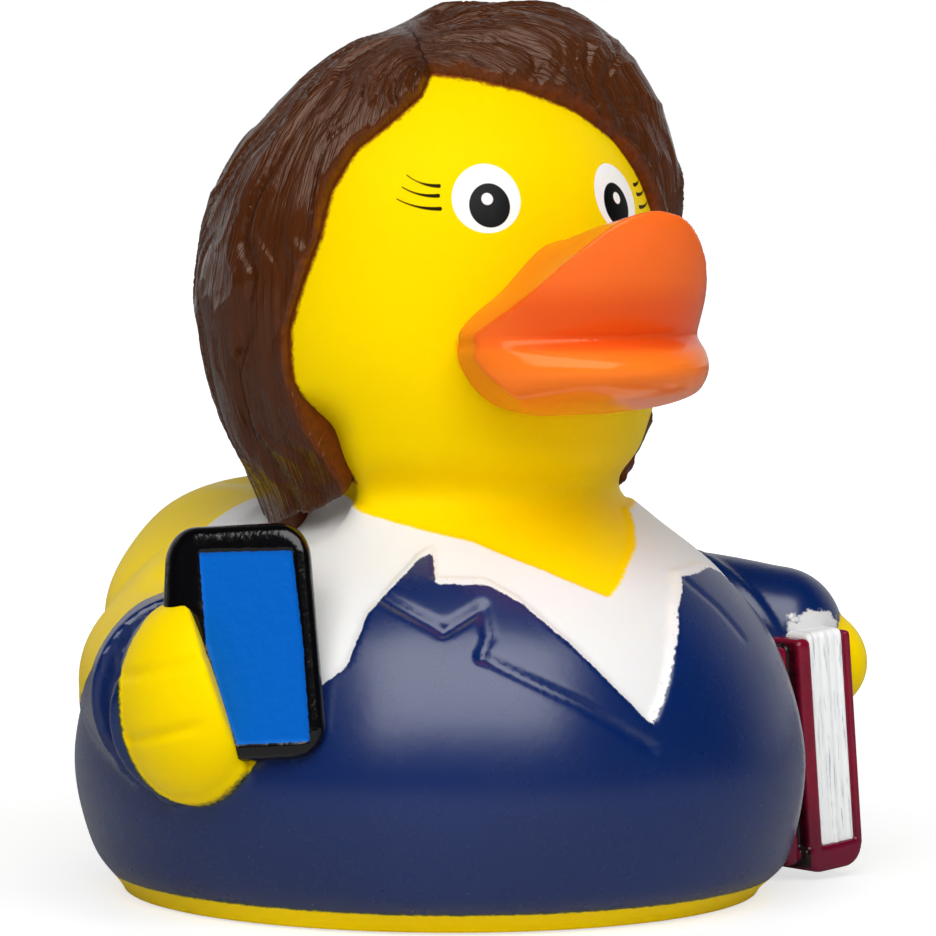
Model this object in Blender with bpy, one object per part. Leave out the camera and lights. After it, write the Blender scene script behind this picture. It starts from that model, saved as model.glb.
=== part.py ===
"""Rubber duck in office dress: a hollow vinyl moulding and the squeaker pressed into its foot.

The duck looks along -Y and stands on Z = 0. Sizes are in metres, angles in degrees.
An azimuth is 0 at the front (-Y) and grows towards the duck's left (+X).
"""
import math

import bmesh
import bpy
import numpy as np
from mathutils import Euler, Matrix, Vector

# Plain form of body, neck and head, from foot to crown
FOOT_RADIUS = 0.0302
BELLY_HALF_WIDTH = 0.0346
BELLY_HALF_LENGTH = 0.0360
BELLY_HEIGHT = 0.0135
SHOULDER_RADIUS = 0.0274
SHOULDER_HEIGHT = 0.0300
CHEST_FULLNESS = 0.0023
NECK_RADIUS = 0.0172
NECK_HEIGHT = 0.0391
CHEEK_RADIUS = 0.0217
CHEEK_HEIGHT = 0.0530
BROW_RADIUS = 0.0204
BROW_HEIGHT = 0.0660
CROWN_HEIGHT = 0.0820

# Hair, a shell over the head that leaves the face open
HAIR_RADIUS = 0.0235
HAIR_WIDEST_HEIGHT = 0.0590
HAIR_OVER_CROWN = 0.0023
NAPE_RADIUS = 0.0166
NAPE_HEIGHT = 0.0362
SWEEP_VOLUME = 0.0036
SWEEP_CENTRE = (0.0120, -0.0060, 0.0790)
SWEEP_SPREAD = 0.0130
CROWN_DIP = 0.0017
CROWN_DIP_CENTRE = (-0.0115, 0.0075, 0.0790)
CROWN_DIP_SPREAD = 0.0120
HAIR_EDGE = 0.0010
HAIR_EDGE_DEPTH = 0.0011
HAIR_INNER_SHARE = 0.80
HAIR_RAMP = 0.0060
LOCK_COUNT = 26
LOCK_DEPTH = 0.0007
PARTING_FRONT = (-0.0083, -0.0106, 0.0785)
PARTING_BACK = (-0.0010, 0.0080, 0.0838)
HEAD_CENTRE = (0.0, 0.0, 0.0600)
HAIR_TOP_HEIGHT = CROWN_HEIGHT + HAIR_OVER_CROWN

# Edge of the face in the hair: azimuth in degrees and height, round from the duck's right
FACE_EDGE = (
    (-95, 0.0300), (-95, 0.0358), (-80, 0.0366), (-64, 0.0386), (-58.5, 0.0402),
    (-66, 0.0424), (-70, 0.0455), (-74, 0.0500), (-74, 0.0545),
    (-70, 0.0590), (-66, 0.0630), (-64, 0.0675), (-59, 0.0712), (-49, 0.0740), (-41, 0.0762),
    (-38, 0.0784), (-20, 0.0779), (0, 0.0768), (20, 0.0750), (34, 0.0722), (41, 0.0685),
    (46, 0.0645), (60, 0.0590), (72, 0.0545), (74, 0.0500), (68, 0.0450),
    (59, 0.0402), (64, 0.0386), (80, 0.0366), (95, 0.0358), (95, 0.0300),
)

# Bill, an upturned shield over a full lower lip: height, half width and reach of each level
BILL_LEVELS = (
    (0.0462, 0.0040, 0.0225), (0.0470, 0.0078, 0.0268), (0.0484, 0.0104, 0.0318),
    (0.0500, 0.0118, 0.0342), (0.0514, 0.0124, 0.0347), (0.0526, 0.0126, 0.0338),
    (0.0535, 0.0124, 0.0320), (0.0541, 0.0125, 0.0314), (0.0550, 0.0122, 0.0320),
    (0.0570, 0.0111, 0.0333), (0.0595, 0.0094, 0.0345), (0.0620, 0.0073, 0.0352),
    (0.0640, 0.0050, 0.0355), (0.0652, 0.0030, 0.0355), (0.0658, 0.0006, 0.0353),
)
BILL_ROOT = 0.0150
BILL_ARC_HALF_WIDTH = 0.0129
BILL_ARC_ROOT = 0.0215
BILL_DIP = 0.0030
BILL_DIP_START = 0.0538
BILL_DIP_END = 0.0628
BILL_DIP_ROOT = 0.0200

# Tail, a broad upturned hump: depth, height, half width and half thickness of each section
TAIL_SECTIONS = (
    (0.0000, 0.0240, 0.0262, 0.0130), (0.0120, 0.0252, 0.0258, 0.0128),
    (0.0215, 0.0264, 0.0236, 0.0116), (0.0295, 0.0299, 0.0182, 0.0085),
    (0.0342, 0.0326, 0.0118, 0.0048), (0.0360, 0.0333, 0.0044, 0.0013),
)

# Arms: sleeves that end in a cuff, hands that hold a phone and a book
SLEEVE_RADIUS = 0.0092
CUFF_RADIUS = 0.0098
LEFT_SLEEVE_RADIUS = 0.0074
LEFT_CUFF_RADIUS = 0.0066
RIGHT_ARM = ((-0.0170, 0.0130, 0.0250), (-0.0262, 0.0070, 0.0215), (-0.0306, -0.0042, 0.0207))
LEFT_ARM = ((0.0150, 0.0050, 0.0235), (0.0262, -0.0035, 0.0243), (0.0336, -0.0105, 0.0222))
RIGHT_HAND_CENTRE = (-0.0338, -0.0098, 0.0210)
RIGHT_HAND_RADII = (0.0062, 0.0080, 0.0094)
RIGHT_HAND_TURN = 12.0
HAND_SIDE_AZIMUTH = 56.0
HAND_SIDE_LIMIT = -0.0212
HAND_SIDE_SLOPE = 0.30
FINGER_GROOVES = (-0.0036, 0.0024)
FINGER_GROOVE_DEPTH = 0.0004
FINGER_GROOVE_HALF_WIDTH = 0.0006
LEFT_HAND_CENTRE = (0.0369, -0.0100, 0.0190)
LEFT_HAND_RADII = (0.0032, 0.0068, 0.0062)
LEFT_HAND_TURN = -20.0

PHONE_WIDTH = 0.0139
PHONE_HEIGHT = 0.0216
PHONE_THICKNESS = 0.0036
PHONE_CORNER = 0.0017
PHONE_CENTRE = (-0.0309, -0.0149, 0.0264)
PHONE_ROOT = 0.0062
PHONE_AZIMUTH = -52.0
PHONE_LEAN = 8.0
PHONE_ROLL = -9.5

BOOK_THICKNESS = 0.0078
BOOK_WIDTH = 0.0150
BOOK_HEIGHT = 0.0232
BOOK_COVER = 0.0013
BOOK_CORNER = 0.0006
BOOK_FOOT = 0.0034
BOOK_PAGE_INSET = 0.0005
BOOK_PAGE_LEFT = -0.0014
BOOK_RIDGE = 0.0019
BOOK_RIDGE_PITCH = 0.0026
BOOK_RIDGE_DEPTH = 0.0100
BOOK_CENTRE = (0.0339, -0.0095, 0.0123)
BOOK_TURN = 4.0
BOOK_LEAN = -5.0

# Jacket and shirt, low relief on the body above the foot's bare band
FOOT_BAND = 0.0040
JACKET_LIFT = 0.0006
SHIRT_LIFT = 0.0004
RELIEF_EDGE = 0.0007
CREASE_DEPTH = 0.0005
CREASE_HALF_WIDTH = 0.0007

# Edge of the jacket's front, azimuth and height, from the right side over both lapels
JACKET_EDGE = (
    (-80, -0.0050), (-80, 0.0200), (-58, 0.0205), (-49, 0.0244), (-47, 0.0289), (-43.5, 0.0311),
    (-38.5, 0.0337), (-35.7, 0.0342), (-34.8, 0.0316), (-25, 0.0315), (-19.3, 0.0299), (-12.4, 0.0262),
    (-1.4, 0.0188), (2, 0.0215), (6.3, 0.0252), (11.9, 0.0287), (19.9, 0.0313), (35, 0.0317),
    (39, 0.0310), (44, 0.0278), (52, 0.0258), (62, 0.0215), (80, 0.0200), (80, -0.0050),
)

# Neckline of the shirt, azimuth and height, with its point at the front
NECKLINE = (
    (-200, 0.0366), (-91, 0.0368), (-73, 0.0373), (-51, 0.0370), (-26, 0.0350), (-12, 0.0325),
    (-1, 0.0300), (10, 0.0327), (18, 0.0340), (35, 0.0370), (60, 0.0373), (200, 0.0366),
)

# Pressed creases of the lapels, azimuth and height
CREASES = (
    ((-44.4, 0.0298), (-33.8, 0.0272)),
    ((-33.2, 0.0271), (-26.4, 0.0290), (-26.1, 0.0265), (-27.5, 0.0250)),
    ((-27.2, 0.0249), (-12.5, 0.0207), (-1.9, 0.0166)),
    ((24.1, 0.0299), (24.3, 0.0254), (14.0, 0.0215)),
)

# Wall of the moulding and the squeaker in its foot
WALL = 0.0024
SOCKET_RADIUS = 0.0062
SOCKET_DEPTH = 0.0052
SOCKET_WALL = 0.0022
PLUG_CLEARANCE = 0.0003
PLUG_FLANGE = 0.0012
PLUG_RECESS = 0.0004
VENT_RADIUS = 0.0012

# Facets of the finished solids
MOULD_GRAIN = 0.00045
BODY_FACETS = 9600
CAVITY_FACETS = 1100

YELLOW = (0.90, 0.66, 0.0)
SQUEAKER_WHITE = (0.80, 0.80, 0.78)


def clear_scene():
    for item in list(bpy.data.objects):
        bpy.data.objects.remove(item)


def vinyl(name, colour, roughness):
    material = bpy.data.materials.new(name)
    material.use_nodes = True
    shader = material.node_tree.nodes["Principled BSDF"]
    shader.inputs["Base Color"].default_value = (*colour, 1.0)
    shader.inputs["Roughness"].default_value = roughness
    shader.inputs["Metallic"].default_value = 0.0
    return material


def smooth_curve(points, steps):
    """A smooth curve through the points, with this many steps between two of them."""
    row = np.array(points, dtype=float)
    row = np.vstack([2 * row[0] - row[1], row, 2 * row[-1] - row[-2]])
    t = np.linspace(0, 1, steps, endpoint=False)[:, None]
    spans = []
    for a, b, c, d in zip(row[:-3], row[1:-2], row[2:-1], row[3:]):
        spans.append(b + 0.5 * t * (c - a + t * (2 * a - 5 * b + 4 * c - d + t * (3 * (b - c) + d - a))))
    return np.vstack(spans + [row[-2][None]])


def loft(name, rings, ring_shaped=False):
    """A closed body through rings of points, capped at both ends or joined from last to first."""
    rows, columns = len(rings), len(rings[0])
    mesh = bpy.data.meshes.new(name)
    corners = np.asarray(rings).reshape(-1, 3)
    faces = []
    for i in range(rows if ring_shaped else rows - 1):
        for j in range(columns):
            here, above = i * columns, (i + 1) % rows * columns
            k = (j + 1) % columns
            faces.append((here + j, here + k, above + k, above + j))
    if not ring_shaped:
        faces.append(tuple(range(columns))[::-1])
        faces.append(tuple(range((rows - 1) * columns, rows * columns)))
    mesh.from_pydata([tuple(p) for p in corners], [], faces)
    form = bmesh.new()
    form.from_mesh(mesh)
    bmesh.ops.remove_doubles(form, verts=form.verts, dist=1e-6)
    bmesh.ops.recalc_face_normals(form, faces=form.faces)
    form.to_mesh(mesh)
    form.free()
    body = bpy.data.objects.new(name, mesh)
    bpy.context.collection.objects.link(body)
    return body


def block(name, size, corner, segments=4):
    """A box with all its edges rounded."""
    form = bmesh.new()
    bmesh.ops.create_cube(form, size=1.0, matrix=Matrix.Diagonal((*size, 1.0)))
    bmesh.ops.bevel(form, geom=form.edges[:], offset=corner, segments=segments,
                    profile=0.5, affect="EDGES")
    mesh = bpy.data.meshes.new(name)
    form.to_mesh(mesh)
    form.free()
    body = bpy.data.objects.new(name, mesh)
    bpy.context.collection.objects.link(body)
    return body


def ball(name, centre, radii, turn=0.0):
    """An ellipsoid, turned about the vertical through its centre."""
    form = bmesh.new()
    bmesh.ops.create_uvsphere(form, u_segments=48, v_segments=32, radius=1.0)
    mesh = bpy.data.meshes.new(name)
    form.to_mesh(mesh)
    form.free()
    body = bpy.data.objects.new(name, mesh)
    bpy.context.collection.objects.link(body)
    mesh.transform(Matrix.Translation(centre) @ Matrix.Rotation(math.radians(turn), 4, "Z")
                   @ Matrix.Diagonal((*radii, 1.0)))
    return body


def limb(name, path, radii, columns=48, steps=10):
    """A round limb along a smooth path, flat at its ends."""
    line = smooth_curve([(*point, radius) for point, radius in zip(path, radii)], steps)
    turn = np.linspace(0, 2 * math.pi, columns, endpoint=False)
    rings = []
    for i, row in enumerate(line):
        ahead = Vector(line[min(i + 1, len(line) - 1)][:3]) - Vector(line[max(i - 1, 0)][:3])
        across = ahead.cross(Vector((0, 0, 1))).normalized()
        over = across.cross(ahead).normalized()
        size = float(row[3])
        rings.append([Vector(row[:3]) + size * (math.cos(a) * across + math.sin(a) * over) for a in turn])
    return loft(name, rings)


def plain_stations(inset=0.0):
    """Height, half width and half length of the plain form, all drawn in by the wall."""
    slope = BELLY_HALF_LENGTH - BELLY_HALF_WIDTH
    rows = [
        (0.0, FOOT_RADIUS, slope),
        (0.40 * BELLY_HEIGHT, 0.30 * FOOT_RADIUS + 0.70 * BELLY_HALF_WIDTH, slope),
        (BELLY_HEIGHT, BELLY_HALF_WIDTH, slope),
        (0.42 * BELLY_HEIGHT + 0.58 * SHOULDER_HEIGHT,
         0.33 * BELLY_HALF_WIDTH + 0.67 * SHOULDER_RADIUS + CHEST_FULLNESS, slope),
        (SHOULDER_HEIGHT, SHOULDER_RADIUS, 0.5 * slope),
        (0.38 * SHOULDER_HEIGHT + 0.62 * NECK_HEIGHT, 0.32 * SHOULDER_RADIUS + 0.68 * NECK_RADIUS, 0.0),
        (NECK_HEIGHT, NECK_RADIUS, 0.0),
        (0.68 * NECK_HEIGHT + 0.32 * CHEEK_HEIGHT, 0.46 * NECK_RADIUS + 0.54 * CHEEK_RADIUS, 0.0),
        (CHEEK_HEIGHT, CHEEK_RADIUS, 0.0),
        (BROW_HEIGHT, BROW_RADIUS, 0.0),
        (0.5 * (BROW_HEIGHT + CROWN_HEIGHT), 0.80 * BROW_RADIUS, 0.0),
        (0.14 * BROW_HEIGHT + 0.86 * CROWN_HEIGHT, 0.47 * BROW_RADIUS, 0.0),
        (CROWN_HEIGHT, 0.0004, 0.0),
    ]
    line = smooth_curve(rows, 10)
    line[:, 1] = np.maximum(line[:, 1] - inset, 0.0004)
    return np.array([(z, r, max(r + extra, 0.0004)) for z, r, extra in line])


def plain_form():
    turn = np.radians(np.linspace(0, 360, 180, endpoint=False))
    rings = [[(a * math.sin(t), -b * math.cos(t), z) for t in turn] for z, a, b in plain_stations()]
    below = [(x, y, -2 * MOULD_GRAIN) for x, y, z in rings[0]]
    return loft("plain", [below] + rings)


def smooth_step(share):
    share = np.clip(share, 0, 1)
    return share * share * (3 - 2 * share)


def hair_profile(steps=16):
    """Height and radius of the hair, from nape to crown."""
    rows = (
        (NAPE_HEIGHT, NAPE_RADIUS),
        (0.60 * NAPE_HEIGHT + 0.40 * HAIR_WIDEST_HEIGHT, 0.35 * NAPE_RADIUS + 0.65 * HAIR_RADIUS),
        (0.25 * NAPE_HEIGHT + 0.75 * HAIR_WIDEST_HEIGHT, 0.985 * HAIR_RADIUS),
        (HAIR_WIDEST_HEIGHT, HAIR_RADIUS),
        (0.66 * HAIR_WIDEST_HEIGHT + 0.34 * HAIR_TOP_HEIGHT, 0.935 * HAIR_RADIUS),
        (0.36 * HAIR_WIDEST_HEIGHT + 0.64 * HAIR_TOP_HEIGHT, 0.76 * HAIR_RADIUS),
        (0.12 * HAIR_WIDEST_HEIGHT + 0.88 * HAIR_TOP_HEIGHT, 0.47 * HAIR_RADIUS),
        (HAIR_TOP_HEIGHT, 0.0004),
    )
    return smooth_curve(rows, steps)


def outline_distance(across, up, outline):
    """Distance of each point from a closed outline, positive inside it."""
    corners = np.array(outline)
    nearest = np.full(across.shape, 1e9)
    inside = np.zeros(across.shape, dtype=bool)
    for (ax, ay), (bx, by) in zip(corners, np.roll(corners, -1, axis=0)):
        dx, dy = bx - ax, by - ay
        share = np.clip(((across - ax) * dx + (up - ay) * dy) / (dx * dx + dy * dy), 0, 1)
        nearest = np.minimum(nearest, np.hypot(across - ax - share * dx, up - ay - share * dy))
        crosses = (ay > up) != (by > up)
        inside ^= crosses & (across < ax + dx * (up - ay) / (dy if dy else 1e-12))
    return np.where(inside, nearest, -nearest)


def face_distance(azimuth, height):
    """Distance from the face's edge along the head, positive in the face."""
    outline = [(math.radians(a) * CHEEK_RADIUS, z) for a, z in FACE_EDGE]
    return outline_distance(np.radians(azimuth) * CHEEK_RADIUS, height, outline)


def head_reach(polar):
    """Distance from the head's centre to its skin, at an angle from straight up."""
    plain = plain_stations()
    head = plain[plain[:, 0] > 0.5 * (NECK_HEIGHT + SHOULDER_HEIGHT)]
    rise = head[:, 0] - HEAD_CENTRE[2]
    return np.interp(polar, np.arctan2(head[::-1, 1], rise[::-1]), np.hypot(head[::-1, 1], rise[::-1]))


def hair_depth(azimuth, polar):
    """Distance from the face's edge, measured on the head's skin and positive in the hair."""
    height = HEAD_CENTRE[2] + head_reach(polar) * np.cos(polar)
    return -face_distance(azimuth, height)


def hair_form():
    """The hair's shell: proud of the head round the face, and under its skin within it."""
    profile = hair_profile()
    azimuth = np.linspace(-180, 180, 360, endpoint=False)
    a, z = np.meshgrid(azimuth, profile[:, 0])
    radius = np.repeat(profile[:, 1:2], len(azimuth), axis=1)
    full = np.hypot(radius, z - HEAD_CENTRE[2])
    polar = np.arctan2(radius, z - HEAD_CENTRE[2])
    skin = head_reach(polar)
    depth = hair_depth(a, polar)
    cover = smooth_step(depth / HAIR_EDGE + 0.5)
    ramp = smooth_step(depth / HAIR_RAMP)
    edge = np.minimum(skin + HAIR_EDGE_DEPTH, full)
    inner = np.minimum(skin - HAIR_EDGE_DEPTH, HAIR_INNER_SHARE * full)
    reach = (edge + (full - edge) * ramp) * cover + inner * (1 - cover)
    reach = np.where(np.cos(polar) > 0.9999, full, reach)
    turn = np.radians(a)
    ray = np.stack([np.sin(polar) * np.sin(turn), -np.sin(polar) * np.cos(turn), np.cos(polar)], axis=2)
    points = np.array(HEAD_CENTRE) + ray * reach[:, :, None]
    away = np.linalg.norm(points - np.array(SWEEP_CENTRE), axis=2) / SWEEP_SPREAD
    points += ray * (SWEEP_VOLUME * ramp * np.exp(-away ** 2))[:, :, None]
    away = np.linalg.norm(points - np.array(CROWN_DIP_CENTRE), axis=2) / CROWN_DIP_SPREAD
    points -= ray * (CROWN_DIP * ramp * np.exp(-away ** 2))[:, :, None]
    return loft("hair", points)


def bill_form():
    """Level sections with a broad curved front, straight back to the head on both sides."""
    turn = 0.5 * math.pi * np.linspace(-1, 1, 40)
    rings = []
    for z, half, reach in smooth_curve(BILL_LEVELS, 5):
        x = half * np.sin(turn)
        arc = np.sqrt(np.clip(1 - (x / BILL_ARC_HALF_WIDTH) ** 2, 0, 1))
        out = BILL_ARC_ROOT + (reach - BILL_ARC_ROOT) * arc
        ring = list(zip(x, out))
        side = [(x[-1], out[-1] + (BILL_ROOT - out[-1]) * share) for share in (0.33, 0.66, 1.0)]
        ring += side + [(-px, py) for px, py in reversed(side)]
        dip = BILL_DIP * smooth_step((z - BILL_DIP_START) / (BILL_DIP_END - BILL_DIP_START))
        run = max(reach - BILL_DIP_ROOT, 1e-4)
        lowered = [z - dip * (1 - smooth_step((py - BILL_DIP_ROOT) / run)) for px, py in ring]
        rings.append([(px, -py, pz) for (px, py), pz in zip(ring, lowered)])
    return loft("bill", rings)


def tail_form():
    """A broad hump that rises to the back and ends in a rounded rim."""
    turn = np.radians(np.linspace(0, 360, 72, endpoint=False))
    rings = [[(half * math.sin(t), y, z + tall * math.cos(t)) for t in turn]
             for y, z, half, tall in smooth_curve(TAIL_SECTIONS, 8)]
    return loft("tail", rings)


def arm_forms():
    right = limb("sleeve_right", RIGHT_ARM, (SLEEVE_RADIUS, SLEEVE_RADIUS, CUFF_RADIUS))
    left = limb("sleeve_left", LEFT_ARM, (SLEEVE_RADIUS, LEFT_SLEEVE_RADIUS, LEFT_CUFF_RADIUS))
    return [right, left, ball("sleeve_left_end", LEFT_ARM[-1], (LEFT_CUFF_RADIUS,) * 3)]


def hand_side():
    """Level direction across the phone, which the right hand's flat side faces."""
    turn = math.radians(HAND_SIDE_AZIMUTH)
    return Vector((math.sin(turn), -math.cos(turn), 0.0))


def hand_forms():
    """A mitt with a flat side along the phone's edge, and a flatter one over the book."""
    right = ball("hand_right", RIGHT_HAND_CENTRE, RIGHT_HAND_RADII, turn=RIGHT_HAND_TURN)
    for corner in right.data.vertices:
        limit = HAND_SIDE_LIMIT + HAND_SIDE_SLOPE * (RIGHT_HAND_CENTRE[2] - corner.co.z)
        beyond = corner.co.dot(hand_side()) - limit
        if beyond > 0:
            corner.co -= 0.92 * beyond * hand_side()
    left = ball("hand_left", LEFT_HAND_CENTRE, LEFT_HAND_RADII, turn=LEFT_HAND_TURN)
    return [right, left]


def phone_form():
    """A rounded slab whose back deepens towards its foot, where it grows out of the jacket."""
    body = block("phone", (PHONE_WIDTH, PHONE_THICKNESS, PHONE_HEIGHT), PHONE_CORNER)
    for corner in body.data.vertices:
        if corner.co.y > 0:
            corner.co.y += PHONE_ROOT * (0.5 - corner.co.z / PHONE_HEIGHT)
    turns = (math.radians(-PHONE_LEAN), math.radians(PHONE_ROLL), math.radians(PHONE_AZIMUTH))
    body.data.transform(Matrix.Translation(PHONE_CENTRE) @ Euler(turns, "YXZ").to_matrix().to_4x4())
    return body


def book_forms():
    """A page block in a cover that wraps its foot, with two ridges where it bends by the body."""
    half, front, foot = 0.5 * BOOK_THICKNESS, -0.5 * BOOK_WIDTH, -0.5 * BOOK_HEIGHT
    pages_right = half - BOOK_COVER
    page_width = pages_right - BOOK_PAGE_LEFT + BOOK_PAGE_INSET
    page_size = (page_width, BOOK_WIDTH - 2 * BOOK_PAGE_INSET, BOOK_HEIGHT - 2 * BOOK_PAGE_INSET)
    ridge_at = BOOK_PAGE_LEFT - 0.5 * BOOK_RIDGE
    board = BOOK_RIDGE_PITCH + BOOK_RIDGE
    plan = (
        ("cover", (BOOK_COVER, BOOK_WIDTH, BOOK_HEIGHT - BOOK_FOOT), (half - 0.5 * BOOK_COVER, 0, 0)),
        ("foot", (BOOK_THICKNESS - BOOK_COVER, BOOK_WIDTH, BOOK_FOOT), (0, 0, foot + 0.5 * BOOK_FOOT)),
        ("pages", page_size, (0.5 * (pages_right + BOOK_PAGE_LEFT), 0, BOOK_PAGE_INSET)),
        ("ridge", (BOOK_RIDGE, BOOK_RIDGE_DEPTH, BOOK_HEIGHT - BOOK_PAGE_INSET),
         (ridge_at, front + 0.5 * BOOK_RIDGE_DEPTH, 0)),
        ("ridge", (BOOK_RIDGE, BOOK_RIDGE_DEPTH, BOOK_HEIGHT - BOOK_RIDGE),
         (ridge_at - BOOK_RIDGE_PITCH, front + 0.5 * BOOK_RIDGE_DEPTH + BOOK_PAGE_INSET, 0)),
        ("board", (board, BOOK_RIDGE_DEPTH, BOOK_HEIGHT - BOOK_RIDGE),
         (BOOK_PAGE_LEFT - 0.5 * board, front + 0.5 * BOOK_RIDGE_DEPTH + BOOK_COVER, 0)),
    )
    turns = Euler((0, math.radians(BOOK_LEAN), math.radians(BOOK_TURN)))
    pose = Matrix.Translation(BOOK_CENTRE) @ turns.to_matrix().to_4x4()
    forms = []
    for name, size, middle in plan:
        form = block(name, size, BOOK_CORNER)
        form.data.transform(pose @ Matrix.Translation(middle))
        forms.append(form)
    return forms


def apply_modifiers(item):
    """Puts the evaluated mesh in place of the base mesh and its modifiers."""
    view = bpy.context.evaluated_depsgraph_get()
    mesh = bpy.data.meshes.new_from_object(item.evaluated_get(view))
    item.modifiers.clear()
    item.data = mesh


def join_forms(name, forms):
    form = bmesh.new()
    for piece in forms:
        form.from_mesh(piece.data)
    mesh = bpy.data.meshes.new(name)
    form.to_mesh(mesh)
    form.free()
    for piece in forms:
        bpy.data.objects.remove(piece)
    body = bpy.data.objects.new(name, mesh)
    bpy.context.collection.objects.link(body)
    return body


def cast(body, grain, passes):
    """Runs the joined forms together into one skin, with soft inner corners."""
    remesh = body.modifiers.new("cast", "REMESH")
    remesh.mode = "VOXEL"
    remesh.voxel_size = grain
    smooth = body.modifiers.new("soften", "SMOOTH")
    smooth.factor = 0.5
    smooth.iterations = passes
    apply_modifiers(body)


def reduce_facets(body, facets):
    body.data.calc_loop_triangles()
    decimate = body.modifiers.new("facets", "DECIMATE")
    decimate.ratio = min(1.0, facets / len(body.data.loop_triangles))
    apply_modifiers(body)


def read_points(body):
    flat = np.empty(3 * len(body.data.vertices))
    body.data.vertices.foreach_get("co", flat)
    return flat.reshape(-1, 3)


def strand_angle(points):
    """Angle that stays the same along a strand, which leaves the parting and fans out."""
    centre = np.array(HEAD_CENTRE)
    front = np.array(PARTING_FRONT) - centre
    back = np.array(PARTING_BACK) - centre
    pole = (front + back) / np.linalg.norm(front + back)
    along = front - back - pole * np.dot(front - back, pole)
    along /= np.linalg.norm(along)
    side = np.cross(pole, along)
    ray = points - centre
    ray /= np.linalg.norm(ray, axis=1)[:, None]
    fall = np.arccos(np.clip(ray @ pole, -1, 1))
    turn = np.arctan2(ray @ side, ray @ along)
    half = 0.5 * math.acos(np.dot(front, back) / np.linalg.norm(front) / np.linalg.norm(back))
    return np.arccosh((fall * np.exp(1j * turn)) / half + 1e-9j).imag


def carve_locks(points):
    """Rounded locks along the strands, cut towards the head's centre."""
    azimuth = np.degrees(np.arctan2(points[:, 0], -points[:, 1]))
    ray = points - np.array(HEAD_CENTRE)
    reach = np.linalg.norm(ray, axis=1)
    ray /= reach[:, None]
    polar = np.arccos(np.clip(ray[:, 2], -1, 1))
    over = smooth_step(hair_depth(azimuth, polar) / 0.0015) * (points[:, 2] > NAPE_HEIGHT)
    over *= smooth_step((reach - head_reach(polar) - 0.0004) / 0.0006)
    wave = np.abs(np.sin(0.5 * LOCK_COUNT * strand_angle(points)))
    return points - ray * (LOCK_DEPTH * over * (1 - np.sqrt(wave)))[:, None]


def line_distance(across, up, line):
    """Distance of each point from an open line."""
    nearest = np.full(across.shape, 1e9)
    for (ax, ay), (bx, by) in zip(line[:-1], line[1:]):
        dx, dy = bx - ax, by - ay
        share = np.clip(((across - ax) * dx + (up - ay) * dy) / (dx * dx + dy * dy), 0, 1)
        nearest = np.minimum(nearest, np.hypot(across - ax - share * dx, up - ay - share * dy))
    return nearest


def unrolled(outline):
    """Azimuth and height as lengths on the body's unrolled side."""
    return [(math.radians(a) * SHOULDER_RADIUS, z) for a, z in outline]


def press_jacket(points, normals):
    """Raises shirt and jacket off the neck and presses the lapels' creases into them."""
    azimuth = np.degrees(np.arctan2(points[:, 0], -points[:, 1]))
    across, up = np.radians(azimuth) * SHOULDER_RADIUS, points[:, 2]
    plain = plain_stations()
    width = np.interp(up, plain[:, 0], plain[:, 1])
    on_body = 1 - smooth_step((np.abs(np.hypot(points[:, 0], points[:, 1]) - width) - 0.0016) / 0.0010)
    front = 1 - smooth_step((np.abs(azimuth) - 58) / 14)
    jacket = smooth_step(outline_distance(across, up, unrolled(JACKET_EDGE)) / RELIEF_EDGE + 0.5)
    below = ((200, -0.0050), (-200, -0.0050))
    shirt = smooth_step(outline_distance(across, up, unrolled(NECKLINE + below)) / RELIEF_EDGE + 0.5)
    lift = JACKET_LIFT * jacket * front + SHIRT_LIFT * shirt
    for crease in CREASES:
        away = line_distance(across, up, unrolled(crease)) / CREASE_HALF_WIDTH
        lift -= CREASE_DEPTH * front * np.exp(-away ** 2)
    lift *= on_body * smooth_step(up / FOOT_BAND)
    return points + normals * lift[:, None]


def crease_hand(points, normals):
    """Two shallow grooves between the fingers round the phone."""
    centre, radii = np.array(RIGHT_HAND_CENTRE), np.array(RIGHT_HAND_RADII)
    away = np.linalg.norm((points - centre) / radii, axis=1) - 1
    near = 1 - smooth_step((away - 0.05) / 0.10)
    across = (points - centre) @ np.array(hand_side())
    rise = points[:, 2] - centre[2] - HAND_SIDE_SLOPE * across
    depth = np.zeros(len(points))
    for height in FINGER_GROOVES:
        depth += np.exp(-((rise - height) / FINGER_GROOVE_HALF_WIDTH) ** 2)
    return points - normals * (FINGER_GROOVE_DEPTH * near * depth)[:, None]


def sculpt(body):
    """Low relief that is finer than the forms: locks of hair, jacket, lapels and fingers."""
    points = read_points(body)
    normals = np.array([corner.normal for corner in body.data.vertices])
    points = crease_hand(press_jacket(carve_locks(points), normals), normals)
    body.data.vertices.foreach_set("co", points.ravel())
    body.data.update()


def cut(body, cutter):
    tool = body.modifiers.new(cutter.name, "BOOLEAN")
    tool.operation = "DIFFERENCE"
    tool.solver = "EXACT"
    tool.object = cutter
    apply_modifiers(body)
    bpy.data.objects.remove(cutter)


def turned(name, profile, ring_shaped=False, columns=48):
    """A body of revolution about the vertical from (radius, height) pairs, bottom to top."""
    turn = np.radians(np.linspace(0, 360, columns, endpoint=False))
    rings = [[(r * math.cos(t), r * math.sin(t), z) for t in turn] for r, z in profile]
    return loft(name, rings, ring_shaped)


def foot_slice():
    """Everything below the floor."""
    depth = 4 * MOULD_GRAIN
    slab = block("below", (0.2, 0.2, depth), 0.0001, segments=1)
    slab.data.transform(Matrix.Translation((0, 0, -0.5 * depth)))
    return slab


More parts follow.
